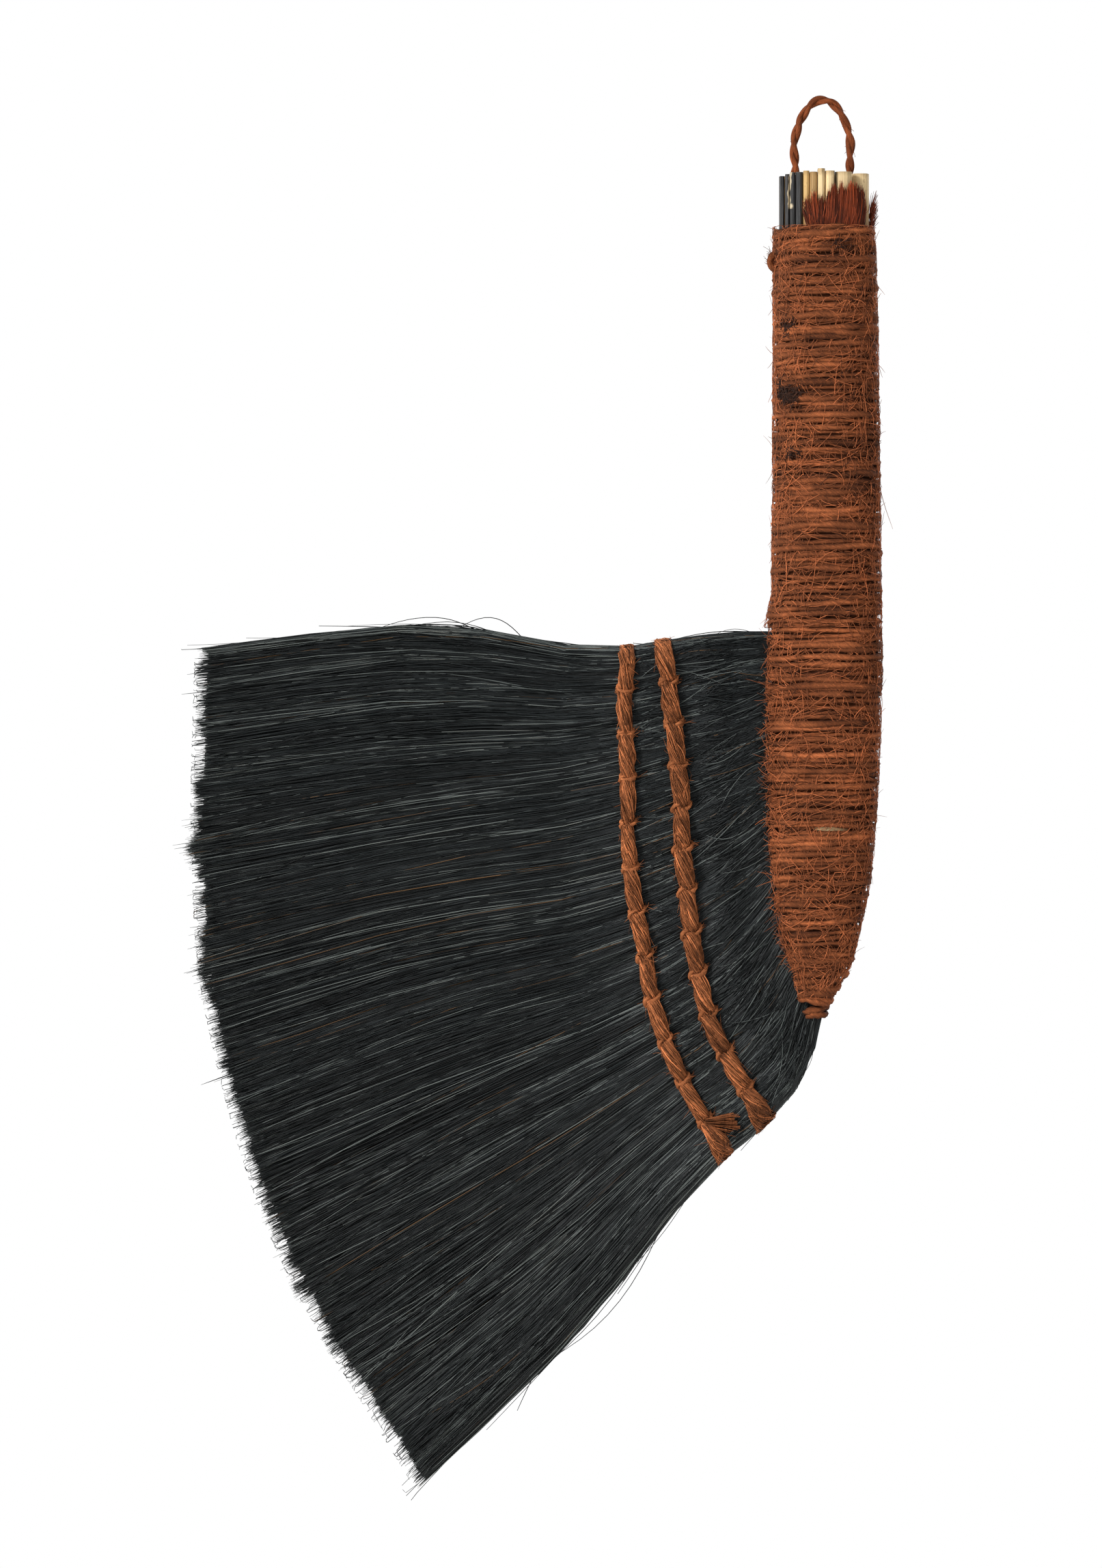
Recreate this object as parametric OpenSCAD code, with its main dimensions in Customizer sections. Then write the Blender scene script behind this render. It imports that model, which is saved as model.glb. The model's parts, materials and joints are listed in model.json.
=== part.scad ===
// Hand broom with a wound grip and a fan of stitched bristles, in millimetres.
// +Z runs up the handle to its hanging loop, +X away from the fan, -Y is the front.
// The origin is the inside of the loop's top, where a peg carries the broom.

/* [Hanging loop] */
// Height of the loop's opening above the cut stalks
loop_h = 19; // [14:0.5:30]
// Distance between the loop's legs, centre to centre
loop_w = 15; // [12:0.5:17]
// Thickness of the two-ply loop cord
loop_cord_d = 2.6; // [1.8:0.1:3]
// Length of each leg that is held between the stalks
loop_tail = 22; // [10:1:60]

/* [Handle] */
// Width of the wound grip at its top
grip_w = 27; // [22:0.5:36]
// Depth of the wound grip at its top
grip_t = 22; // [19:0.5:30]
// Length of bare stalk above the winding
stalk_show = 14; // [6:1:30]
// Length of the winding above the fan
grip_len = 109; // [80:1:150]
// Length of the tapering winding behind the fan
heel_len = 101; // [84:1:125]
// Thickness of the winding
wind_t = 1.1; // [0.8:0.1:1.6]
// Thickness of the winding twine
twine_d = 1.6; // [1:0.1:2]

/* [Fan] */
// Reach of the bristles from the middle of the handle
fan_reach = 170; // [140:1:210]
// Drop from the fan's top edge to its lowest tip
fan_drop = 234; // [195:1:290]
// Thickness of the fan where it is sewn
fan_t = 11.2; // [9:0.1:13]
// Thickness of the fan at the trimmed tips
tip_t = 16; // [12:0.5:20]
// Number of bundles that the fan is divided into
bundle_count = 12; // [10:1:13]
// Gap between neighbouring bundles
seam = 0.2; // [0.1:0.05:0.4]

/* [Stitching] */
// Thickness of the cord along each stitched row
cord_d = 4.1; // [3:0.1:4.6]
// Thickness of the thread that ties the cords through the fan
stitch_d = 1.2; // [0.8:0.1:1.4]
// Play round the stitches and ties where they pass between bundles
stitch_play = 0.12; // [0.05:0.01:0.3]

/* [Flexing] */
// Radius of the round root that the free bristles turn on
flex_r = 6; // [5.8:0.1:7.5]
// Running gap round that root
flex_gap = 0.35; // [0.3:0.05:0.6]

/* [Hidden] */
$fn = 48;

dyed_black = "#2b2e31";
cane_cream = "#e0cb98";
cane_tan = "#b39558";
twine_brown = "#7a4226";
cord_brown = "#9a5530";
bristle_black = "#22282a";

touch = 0.1;                          // gap between neighbouring pieces that are bound together
stalk_top = -loop_h;
wind_top = stalk_top - stalk_show;
fan_top = wind_top - grip_len;
grip_shift = 0.4;                     // the winding stands a little to the right of the loop
oval_power = 2.5;                     // squareness of the handle's section
oval_steps = 40;
mouth_angle = 44;                     // half angle of the heel winding's open side
last_angle = 75;                      // half angle of the last turn's open side

// The size at which the outlines below were drawn
drawn_reach = 170;
drawn_drop = 234;
drawn_heel = 101;
drawn_w = 27;
drawn_t = 22;

// ---- curves ----
function unit(v) = v / norm(v);
function mix(a, b, f) = a + (b - a) * f;
function cubic(a, b, ma, mb, f) =
    a * (2*f*f*f - 3*f*f + 1) + ma * (f*f*f - 2*f*f + f) + b * (3*f*f - 2*f*f*f) + mb * (f*f*f - f*f);

// A smooth value through evenly spaced ones, u from 0 to 1
function even(p, u) = let (n = len(p) - 1, k = min(n - 1, floor(u * n)),
    m0 = k == 0 ? p[1] - p[0] : (p[k+1] - p[k-1]) / 2,
    m1 = k == n - 1 ? p[n] - p[n-1] : (p[k+2] - p[k]) / 2) cubic(p[k], p[k+1], m0, m1, u * n - k);

// A smooth curve through points a long or short way apart, s from 0 to the last point's index
function slope(p, i) = let (n = len(p) - 1)
    i == 0 ? unit(p[1] - p[0]) : i == n ? unit(p[n] - p[n-1]) :
    let (a = norm(p[i] - p[i-1]), b = norm(p[i+1] - p[i])) (unit(p[i] - p[i-1]) * b + unit(p[i+1] - p[i]) * a) / (a + b);
function through(p, s) = let (k = min(len(p) - 2, floor(s)), h = norm(p[k+1] - p[k]))
    cubic(p[k], p[k+1], slope(p, k) * h, slope(p, k + 1) * h, s - k);

// ---- the fan's lines: a place across the fan is u, 0 at its top edge and 1 at its bottom edge ----
// Each line is [distance left of the handle's middle, distance below the fan's top edge]
function in_handle(p) = [-p[0] * grip_w / drawn_w, fan_top - p[1] * heel_len / drawn_heel];
function in_fan(p) = [-p[0] * fan_reach / drawn_reach, fan_top - p[1] * fan_drop / drawn_drop];
SEAT = [[8.5, 2], [8.5, 26], [7.5, 50], [3, 65], [-8, 71]];
MOUTH = [[17, 1.5], [17, 30], [16.2, 58], [12.5, 85], [1, 107.5]];
INNER_ROW = [[43.6, 4], [39.6, 38], [37.3, 72], [31.5, 105.7], [15.5, 136]];
OUTER_ROW = [[53.4, 5.6], [53.6, 41.7], [50.7, 78], [42.9, 113], [26.5, 145.2]];
MIDDLE = [[104.5, -0.4], [112, 50], [109, 91], [95, 142.5], [66, 192.5]];
TIPS = [[168.2, 5.8], [169.4, 60], [165, 108], [146, 170], [108.8, 234]];
MOUTH_T = [16, 16, 15, 11.8, 7.5];    // fan thickness at the mouth of the heel
SEAT_T = [14, 14, 13, 11.5, 9];       // and at the bundles' seats
middle_t = fan_t + 1.2;

function lines(u) = [in_handle(even(SEAT, u)), in_handle(even(MOUTH, u)), in_fan(even(INNER_ROW, u)),
                     in_fan(even(OUTER_ROW, u)), in_fan(even(MIDDLE, u)), in_fan(even(TIPS, u))];
inner_row = 2;                        // where the lines meet the stitched rows
outer_row = 3;
function fibre(u, s) = through(lines(u), s);
function thick(u, s) = let (kt = grip_t / drawn_t,
    t = [even(SEAT_T, u) * kt, even(MOUTH_T, u) * kt, fan_t, fan_t, middle_t, tip_t],
    k = min(len(t) - 2, floor(s))) mix(t[k], t[k+1], s - k);
function flat(p, y) = [p[0], y, p[1]];
function fibre_way(u, s) = unit(fibre(u, s + 0.02) - fibre(u, s - 0.02));
function row_way(u, s) = unit(fibre(min(1, u + 0.02), s) - fibre(max(0, u - 0.02), s));

// ---- a stitched row's cord, and the half width of the stitches that draw it in ----
cord_r = cord_d / 2;
pinch_r = cord_d * 0.32;
cord_y = fan_t / 2 + cord_r + touch;
turn_r = cord_r + 0.35;               // radius of the cord's corners at the fan's edges
bite = pinch_r + 4 * touch + stitch_d / 2;

// ---- the flexing line, straight, just outside the outer row ----
row_top = fibre(0, outer_row);
row_end = fibre(1, outer_row);
flex_way = unit(row_end - row_top);
flex_out = [flex_way[1], -flex_way[0]];
row_bulge = max([for (u = [0:0.05:1]) (fibre(u, outer_row) - row_top) * flex_out]);
flex_offset = row_bulge + bite + stitch_d / 2 + stitch_play + flex_r + 2 * flex_gap;
flex_point = row_top + flex_out * flex_offset;
flex_len = 2 * norm(row_end - row_top);
echo(flex_point = flex_point, flex_way = flex_way);

// ---- surfaces swept through rings of points ----
module skin(rings, closed = false) {
    m = len(rings[0]);
    n = len(rings);
    spans = closed ? n : n - 1;
    polyhedron([for (r = rings) each r], concat(
        [for (i = [0:spans - 1], j = [0:m - 1])
            let (k = (i + 1) % n, l = (j + 1) % m) [i*m + j, i*m + l, k*m + l, k*m + j]],
        closed ? [] : [[for (j = [m - 1:-1:0]) j], [for (j = [0:m - 1]) (n - 1) * m + j]]), convexity = 10);
}

// A round cord along points, with a radius and a direction square to the cord at each
module cord(points, radii, square_to, closed = false, sides = 8) {
    n = len(points);
    skin([for (i = [0:n - 1])
        let (a = closed ? (i + n - 1) % n : max(0, i - 1), b = closed ? (i + 1) % n : min(n - 1, i + 1),
             way = unit(points[b] - points[a]), q = square_to[i],
             side = unit(q - way * (q * way)), up = cross(way, side))
        [for (j = [0:sides - 1]) let (t = -360 * j / sides)
            points[i] + radii[i] * (cos(t) * side + sin(t) * up)]], closed);
}

// ---- the handle's section: [middle, half width, half depth] at a height ----
// Rows are [share of the length, left edge, right edge, half depth]
GRIP = [[0, 13.5, 13.5, 11], [0.25, 13.5, 14.4, 11.5], [0.5, 13.6, 14.8, 11.8], [0.92, 13.9, 15.3, 12],
        [1, 15.8, 15.4, 12]];
HEEL = [[0, 15.8, 15.4, 12], [0.13, 17.3, 15.6, 12], [0.38, 17.4, 14.8, 11.6], [0.57, 16.8, 13.6, 11],
        [0.7, 15.4, 12.2, 10.4], [0.8, 14, 10, 9.8], [0.86, 12.6, 8.7, 9.3], [0.92, 10, 7, 8.7], [1, 8.2, 2.3, 7.4]];
END = [[1.03, 6.4, 1.3, 6.2], [1.06, 6.2, 1.3, 6]];

function section(r, top, length, out = 0) = let (kw = grip_w / drawn_w, kt = grip_t / drawn_t)
    [top - r[0] * length, grip_shift + (r[2] - r[1]) / 2 * kw, (r[1] + r[2]) / 2 * kw + out, r[3] * kt + out];
function power(v, p) = sign(v) * pow(abs(v), p);
function oval_point(o, a) = [o[1] + o[2] * power(cos(a), 2 / oval_power), o[3] * power(sin(a), 2 / oval_power), o[0]];
function oval_ring(o) = [for (i = [0:oval_steps - 1]) oval_point(o, -360 * i / oval_steps)];

// A wound tube, closed all round
module wound_tube(rows, top, length) {
    outer = [for (r = rows) oval_ring(section(r, top, length))];
    inner = [for (i = [len(rows) - 1:-1:0]) oval_ring(section(rows[i], top, length, -wind_t))];
    skin(concat(outer, inner), closed = true);
}

// A wound shell that runs from angle a to angle b of the oval, a > b
module wound_shell(rows, top, length, a, b, steps, inside, outside) {
    m = 2 * (steps + 1);
    n = len(rows);
    rings = [for (r = rows) concat(
        [for (i = [0:steps]) oval_point(section(r, top, length, outside), mix(a, b, i / steps))],
        [for (i = [steps:-1:0]) oval_point(section(r, top, length, inside), mix(a, b, i / steps))])];
    caps = [for (i = [0:steps - 1]) [i, i + 1, m - 2 - i, m - 1 - i]];
    polyhedron([for (r = rings) each r], concat(
        [for (i = [0:n - 2], j = [0:m - 1]) let (l = (j + 1) % m) [i*m + j, i*m + l, (i+1)*m + l, (i+1)*m + j]],
        [for (c = caps) [c[3], c[2], c[1], c[0]]],
        [for (c = caps) [for (k = c) (n - 1) * m + k]]), convexity = 10);
}

// ---- stalks ----
// Each front stalk is [share of the width, height of its cut above the others, depth, share of the heel it runs to]
FRONT = [[1.5, -0.7, 3.4, 0], [1.2, -0.4, 3.6, 0], [1.5, 0, 4.2, 0], [2, 0, 4.4, 0], [1.7, 0.3, 4.6, 0.47],
         [2.1, 0, 4.6, 0.47], [2, 0.9, 4.8, 0.58], [2.6, 0.3, 4.8, 0.58], [4.6, 0.1, 4.6, 0.58], [4.8, -0.1, 4.4, 0.42]];
BACK = [[3.6, -0.4, 3.6, 0], [3.2, 0, 4.2, 0.4], [3.6, 0.4, 4.6, 0.47], [3.9, -0.3, 4.6, 0.58], [3.7, 0.2, 4.6, 0.58],
        [3.2, -0.5, 4.4, 0.5], [2.8, 0, 3.6, 0.42]];
stalks_w = grip_w - 2 * wind_t - 2 * touch;
stalks_t = grip_t - 2 * wind_t - 2 * touch;
function total(list, n) = n == 0 ? 0 : list[n-1][0] + total(list, n - 1);
function stalk_edge(list, n) = grip_shift - stalks_w / 2 + stalks_w * total(list, n) / total(list, len(list));

// A flat-sided stalk with round edges, side is -1 at the front and 1 at the back
module stalk(list, i, side) {
    x0 = stalk_edge(list, i) + touch / 2;
    x1 = stalk_edge(list, i + 1) - touch / 2;
    deep = list[i][2];
    r = min(x1 - x0, deep) / 2;
    far = max(abs(x0 - grip_shift), abs(x1 - grip_shift)) - 0.4 * r;
    face = stalks_t / 2 * pow(1 - pow(min(1, 2 * far / stalks_w), oval_power), 1 / oval_power);
    top = stalk_top + list[i][1];
    foot = fan_top + touch - list[i][3] * heel_len;
    translate([0, 0, foot]) linear_extrude(top - foot) intersection() {
        polygon([for (p = oval_ring([0, grip_shift, stalks_w / 2, stalks_t / 2])) [p[0], p[1]]]);
        translate([x0, side > 0 ? face - deep : -face])
            if (x1 - x0 > deep) {
                translate([r, 0]) square([x1 - x0 - 2 * r, deep]);
                for (x = [r, x1 - x0 - r]) translate([x, r]) circle(r);
            } else {
                translate([0, r]) square([x1 - x0, deep - 2 * r]);
                for (y = [r, deep - r]) translate([r, y]) circle(r);
            }
    }
}
module dyed_stalk(i) { color(dyed_black) stalk(FRONT, i - 1, -1); }
module natural_stalk(i) { color(i == 2 ? cane_tan : cane_cream) stalk(FRONT, i + 3, -1); }
module back_stalks() { color(cane_tan) for (i = [0:len(BACK) - 1]) stalk(BACK, i, 1); }

core_r = 2;
module core_stalks() {
    color(cane_cream) for (x = [-1:1], y = [-1, 1])
        translate([x * (2 * core_r + 0.2), y * (core_r + touch), fan_top - 0.47 * heel_len])
            cylinder(r = core_r, h = stalk_top - 0.4 * abs(x - y) - (fan_top - 0.47 * heel_len));
}

// ---- hanging loop: half width and height of its middle line, from a leg up to the top ----
loop_r = loop_cord_d / 2;
loop_pivot = stalk_top + loop_r + 0.2;
LOOP = [[7.5, -17], [7.6, -14], [7.6, -11], [7.2, -8], [6.5, -5.5], [5.4, -3], [4, -0.8], [2.1, 0.8]];
drawn_loop_h = 19;
drawn_loop_w = 15;
function loop_at(p, side) = [side * p[0] * loop_w / drawn_loop_w, 0, loop_r + (p[1] - 1.3) * loop_h / drawn_loop_h];
LEG_END = [for (a = [75, 50, 25, 0]) [loop_pivot - loop_r * sin(a), loop_r * cos(a)]];
module hanging_loop() {
    left = [for (p = LOOP) loop_at(p, -1)];
    right = [for (i = [len(LOOP) - 1:-1:0]) loop_at(LOOP[i], 1)];
    ends = [for (e = LEG_END) [-loop_w / 2, 0, e[0]]];
    starts = [for (i = [len(LEG_END) - 1:-1:0]) [loop_w / 2, 0, LEG_END[i][0]]];
    points = concat(ends, left, [[0, 0, loop_r]], right, starts);
    full = [for (i = [0:2 * len(LOOP)]) loop_r];
    radii = concat([for (e = LEG_END) e[1]], full, [for (i = [len(LEG_END) - 1:-1:0]) LEG_END[i][1]]);
    color(cord_brown) cord(points, radii, [for (p = points) [0, 1, 0]]);
}
module loop_tails() {
    color(cord_brown) for (x = [-1, 1]) translate([x * loop_w / 2, 0, stalk_top - loop_tail])
        cylinder(d = loop_cord_d, h = loop_tail - touch);
}

// ---- winding ----
module grip_winding() { color(twine_brown) wound_tube(GRIP, wind_top, grip_len); }
module heel_winding() {
    color(twine_brown)
        wound_shell(HEEL, fan_top, heel_len, 180 - mouth_angle, mouth_angle - 180, oval_steps, -wind_t, 0);
}
module last_turn() {
    color(twine_brown)
        wound_shell(END, fan_top, heel_len, 180 - last_angle, last_angle - 180, oval_steps / 2, -wind_t, 0);
}
module winding_knot() {
    knot_r = twine_d * 0.7;
    at = section(GRIP[0], wind_top, 0);
    translate([at[1] - at[2] - knot_r - touch, 0, wind_top - 8]) color(twine_brown) {
        sphere(knot_r);
        mirror([0, 0, 1]) cylinder(r = knot_r, h = 3);
        translate([0, 0, -3]) sphere(knot_r);
    }
}
// Loose fibres of the twine's first end, spread over the front of the natural stalks
module frayed_twine_end() {
    color(twine_brown)
        wound_shell([[0, 13.5, 13.5, 11], [-0.1, 13.5, 13.5, 11]], wind_top, grip_len, -12, -112, 12, -wind_t, 0.3);
}
// The twine passes between the bundles on its way round the handle
module heel_ties() {
    color(twine_brown) for (k = [1:bundle_count - 1]) tie(k, 0);
}
tie_share = 0.5;                      // how far from seat to mouth the ties cross
module tie(k, play) {
    u = k / bundle_count;
    long = thick(u, tie_share) + 0.6;
    translate(flat(fibre(u, tie_share), -long / 2)) rotate([-90, 0, 0]) cylinder(d = twine_d + 2 * play, h = long);
}

// ---- bundles ----
edge_round = 3.2;
inner_round = 1;
RINGS = [0, 0.5, 1, 1.5, 2, 2.5, 3, 3.2, 3.4, 3.7, 4, 4.5, 5];
function bundle_ring(u0, u1, s, c0, c1) = let (p = fibre(u0, s), q = fibre(u1, s), w = norm(q - p), d = (q - p) / w,
    a = p + d * seam / 2, b = q - d * seam / 2, t = thick((u0 + u1) / 2, s) / 2, e = min(c0, 0.3 * w), f = min(c1, 0.3 * w))
    [flat(a, t - e), flat(a + d * e, t), flat(b - d * f, t), flat(b, t - f),
     flat(b, f - t), flat(b - d * f, -t), flat(a + d * e, -t), flat(a, e - t)];
module bundle(i) {
    u0 = (i - 1) / bundle_count;
    u1 = i / bundle_count;
    c0 = i == 1 ? edge_round : inner_round;
    c1 = i == bundle_count ? edge_round : inner_round;
    difference() {
        skin([for (s = RINGS) bundle_ring(u0, u1, s, c0, c1)]);
        for (k = [i - 1, i]) if (k > 0 && k < bundle_count) {
            tie(k, stitch_play);
            for (row = [inner_row, outer_row]) stitch_slot(k, row);
        }
    }
}
// Everything outside the flexing line
module outside_flex_line() {
    translate(flat(flex_point, 0)) rotate([0, atan2(flex_way[0], flex_way[1]), 0])
        translate([0, -tip_t, -flex_len]) cube([2 * fan_reach, 2 * tip_t, 2 * flex_len]);
}
module round_root(r) {
    translate(flat(flex_point - flex_way * flex_len / 2, 0)) rotate([0, atan2(flex_way[0], flex_way[1]), 0])
        cylinder(r = r, h = 2 * flex_len);
}
module bundle_root(i) {
    color(bristle_black) difference() {
        bundle(i);
        outside_flex_line();
        round_root(flex_r + flex_gap);
    }
}
module bundle_tips(i) {
    color(bristle_black) intersection() {
        bundle(i);
        union() {
            outside_flex_line();
            round_root(flex_r);
        }
    }
}

// ---- stitched rows ----
module stitch(k, row) {
    u = k / bundle_count;
    way = fibre_way(u, row);
    translate(flat(fibre(u, row), 0)) rotate([0, -atan2(way[1], way[0]), 0]) {
        for (side = [-1, 1]) {
            translate([side * bite, -cord_y, 0]) rotate([-90, 0, 0]) cylinder(d = stitch_d, h = 2 * cord_y);
            translate([0, side * cord_y, 0]) rotate([0, 0, side > 0 ? 0 : 180])
                rotate_extrude(angle = 180) translate([bite, 0]) circle(d = stitch_d);
        }
    }
}
module stitch_slot(k, row) {
    u = k / bundle_count;
    way = fibre_way(u, row);
    translate(flat(fibre(u, row), 0)) rotate([0, -atan2(way[1], way[0]), 0])
        cube([2 * bite + stitch_d + 2 * stitch_play, fan_t * 2, stitch_d + 2 * stitch_play], center = true);
}
module row_cord(row) {
    bulge = [pinch_r, 0.93 * cord_r, cord_r, 0.93 * cord_r];
    steps = 4 * bundle_count;
    front = [for (i = [0:steps]) flat(fibre(i / steps, row), -cord_y)];
    back = [for (i = [steps:-1:0]) flat(fibre(i / steps, row), cord_y)];
    end_way = flat(row_way(1, row), 0);
    top_way = -flat(row_way(0, row), 0);
    end_at = flat(fibre(1, row), 0);
    top_at = flat(fibre(0, row), 0);
    corner = cord_y - turn_r;
    over_end = concat([for (a = [30, 60, 90]) end_at + end_way * turn_r * sin(a) - [0, corner + turn_r * cos(a), 0]],
                      [for (a = [90, 60, 30]) end_at + end_way * turn_r * sin(a) + [0, corner + turn_r * cos(a), 0]]);
    over_top = concat([for (a = [30, 60, 90]) top_at + top_way * turn_r * sin(a) + [0, corner + turn_r * cos(a), 0]],
                      [for (a = [90, 60, 30]) top_at + top_way * turn_r * sin(a) - [0, corner + turn_r * cos(a), 0]]);
    r = [for (i = [0:steps]) i == 0 || i == steps ? cord_r : bulge[i % 4]];
    turn = [for (i = [1:6]) cord_r];
    way = [for (i = [0:steps]) flat(fibre_way(i / steps, row), 0)];
    back_way = [for (i = [steps:-1:0]) way[i]];
    color(cord_brown) cord(concat(front, over_end, back, over_top), concat(r, turn, r, turn),
        concat(way, [for (i = [1:6]) way[steps]], back_way, [for (i = [1:6]) way[0]]), closed = true);
}
module inner_row_cord() { row_cord(inner_row); }
module outer_row_cord() { row_cord(outer_row); }
module row_stitches(row) { color(cord_brown) for (k = [1:bundle_count - 1]) stitch(k, row); }
module inner_row_stitches() { row_stitches(inner_row); }
module outer_row_stitches() { row_stitches(outer_row); }

// The outer row's cut and frayed cord end, lying on the front of its last stitch
module outer_row_knot() {
    u = 1 - 0.5 / bundle_count;
    at = fibre(u, outer_row);
    color(cord_brown) translate(flat(at, -cord_y - cord_r - 1.9)) rotate([0, 62, 0])
        cylinder(r1 = 1.8, r2 = 1.8, h = 9);
}

core_stalks();
back_stalks();
hanging_loop();
loop_tails();
grip_winding();
heel_winding();
last_turn();
winding_knot();
frayed_twine_end();
heel_ties();
inner_row_cord();
outer_row_cord();
inner_row_stitches();
outer_row_stitches();
outer_row_knot();
for (i = [1:4]) dyed_stalk(i);
for (i = [1:6]) natural_stalk(i);
for (i = [1:bundle_count]) bundle_root(i);
for (i = [1:bundle_count]) bundle_tips(i);
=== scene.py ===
"""A hand whisk broom: a fan of dark stitched bristles on a handle of stalks wound with twine."""

import json
import math

import bpy
import numpy as np
from bpy.props import FloatProperty, FloatVectorProperty, IntProperty, PointerProperty
from bpy.types import Operator, Panel, PropertyGroup
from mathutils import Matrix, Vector


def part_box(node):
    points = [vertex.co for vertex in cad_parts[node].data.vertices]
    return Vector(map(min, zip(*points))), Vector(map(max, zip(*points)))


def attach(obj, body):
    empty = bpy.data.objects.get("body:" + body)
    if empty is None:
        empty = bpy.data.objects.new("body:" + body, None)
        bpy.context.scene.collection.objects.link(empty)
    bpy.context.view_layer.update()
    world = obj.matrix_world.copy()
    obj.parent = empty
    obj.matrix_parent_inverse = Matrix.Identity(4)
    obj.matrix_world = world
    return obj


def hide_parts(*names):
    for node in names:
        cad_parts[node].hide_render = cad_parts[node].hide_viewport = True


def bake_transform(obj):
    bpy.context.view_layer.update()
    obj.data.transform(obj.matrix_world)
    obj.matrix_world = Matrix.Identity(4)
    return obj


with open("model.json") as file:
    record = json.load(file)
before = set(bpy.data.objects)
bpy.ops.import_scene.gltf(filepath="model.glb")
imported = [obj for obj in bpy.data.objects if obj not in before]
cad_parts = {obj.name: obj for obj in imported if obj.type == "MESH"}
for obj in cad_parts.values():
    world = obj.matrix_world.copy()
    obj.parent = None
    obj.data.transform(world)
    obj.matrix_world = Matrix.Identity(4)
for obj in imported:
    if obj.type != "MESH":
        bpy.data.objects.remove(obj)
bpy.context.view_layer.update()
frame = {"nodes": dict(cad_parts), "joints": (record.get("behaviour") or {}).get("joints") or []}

bl_info = {
    "name": "Hand Whisk Broom",
    "version": (1, 0, 0),
    "blender": (4, 5, 0),
    "location": "3D View > Sidebar > Whisk Broom",
    "description": "Makes a wound hand broom with a fan of stitched bristles",
    "category": "Add Mesh",
}

MM = 0.001
TURN = 2 * math.pi


# ---------------------------------------------------------------- places from the frame, in millimetres
def top_of(node):
    """Height of a CAD node's top."""
    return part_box(node)[1].z / MM


def foot_of(node):
    """Height of a CAD node's lowest point."""
    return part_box(node)[0].z / MM


STALK_TOP = top_of("dyed_stalk_3")
WIND_TOP = top_of("grip_winding")
FAN_TOP = foot_of("grip_winding")
HEEL_END = foot_of("heel_winding")
GRIP_LENGTH = WIND_TOP - FAN_TOP
# Heights at which cane shows between the turns
THIN_PLACE = FAN_TOP - 55
SIDE_THIN_PLACE = FAN_TOP - 32
HEEL_LENGTH = FAN_TOP - HEEL_END
BUNDLES = len([n for n in frame["nodes"] if n.startswith("bundle_root_")])

# Lines across the fan, from its top edge to its bottom edge, as distances left of the handle's middle
# and below the fan's top: the bundles' seats, the mouth of the heel, the two stitched rows, the middle
# of the free bristles, and their trimmed tips.
SEAT = [[8.5, 2], [8.5, 26], [7.5, 50], [3, 65], [-8, 71]]
MOUTH = [[17, 1.5], [17, 30], [16.2, 58], [12.5, 85], [1, 107.5]]
INNER_ROW = [[43.6, 4], [39.6, 38], [37.3, 72], [31.5, 105.7], [15.5, 136]]
OUTER_ROW = [[53.4, 5.6], [53.6, 41.7], [50.7, 78], [42.9, 113], [26.5, 145.2]]
MIDDLE = [[104.5, -0.4], [112, 50], [109, 91], [95, 142.5], [66, 192.5]]
TIPS = [[168.2, 5.8], [169.4, 60], [165, 108], [146, 170], [108.8, 234]]
FAN_LINES = [SEAT, MOUTH, INNER_ROW, OUTER_ROW, MIDDLE, TIPS]
ROWS = {"inner": 2, "outer": 3}
# Half thickness of the fan along those lines, at five places from its top edge to its bottom edge
FAN_HALF = [
    [5.5, 5.5, 5.2, 4.8, 4.2],
    [6.0, 6.0, 5.6, 4.9, 3.9],
    [5.6, 5.6, 5.6, 5.6, 5.3],
    [5.6, 5.6, 5.6, 5.6, 5.3],
    [6.4, 6.4, 6.4, 6.4, 6.0],
    [7.8, 7.8, 7.8, 7.6, 6.6],
]
# Length of those lines
FAN_WIDTH = [76, 109, 137, 144, 204, 247]
# The handle's section: share of the length, left edge, right edge, half depth
GRIP = [[0, 13.5, 13.5, 11], [0.25, 13.5, 14.4, 11.5], [0.5, 13.6, 14.8, 11.8], [0.92, 13.9, 15.3, 12],
        [1, 15.8, 15.4, 12]]
HEEL = [[0, 15.8, 15.4, 12], [0.13, 17.3, 15.6, 12], [0.38, 17.4, 14.8, 11.6], [0.57, 16.8, 13.6, 11],
        [0.7, 15.4, 12.2, 10.4], [0.8, 14, 10, 9.8], [0.86, 12.6, 8.7, 9.3], [0.92, 10, 7, 8.7],
        [1, 8.2, 2.3, 7.4], [1.03, 6.4, 1.3, 6.2], [1.08, 6.2, 1.3, 6]]
GRIP_SHIFT = 0.4
GRIP_HALF = 13.5
OVAL_POWER = 2.5
# Half width and height of the hanging loop's middle line, from a leg up to the top
LOOP = [[7.5, -17], [7.6, -14], [7.6, -11], [7.2, -8], [6.5, -5.5], [5.4, -3], [4, -0.8], [2.1, 0.8]]
LOOP_TOP = 1.3
LOOP_PIVOT = -17.5
# How far the loop's legs go on between the stalks
LOOP_SEAT = 1.1

# Locks of bristles across the fan, and millimetres per step of s at the tips
LOCKS = 230
TIP_STEP = 60
# The stage, in metres
FLOOR_HALF = 1.5
FLOOR_HEIGHT = -0.6
CAMERA_PLACE = (-0.074, -2.0, -0.1852)
CAMERA_LENS = 168.4
# Directions that no hair of a group runs along, to measure its turn from
HANDLE_UP = (0.31, 0.22, 0.92)
FRAY_UP = (0.3, 0.9, 0.2)
WISP_UP = (0.1, 0.9, 0.4)
CORD_UP = (0.3, 0.95, 0.1)
# Reach of the bend, in millimetres before and past the line
BEND_FROM = 8
BEND_TO = 30

# The line that the free bristles flex on, from the frame's joint
FLEX = next(j for j in frame["joints"] if j["name"] == "bristle_flex")


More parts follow.
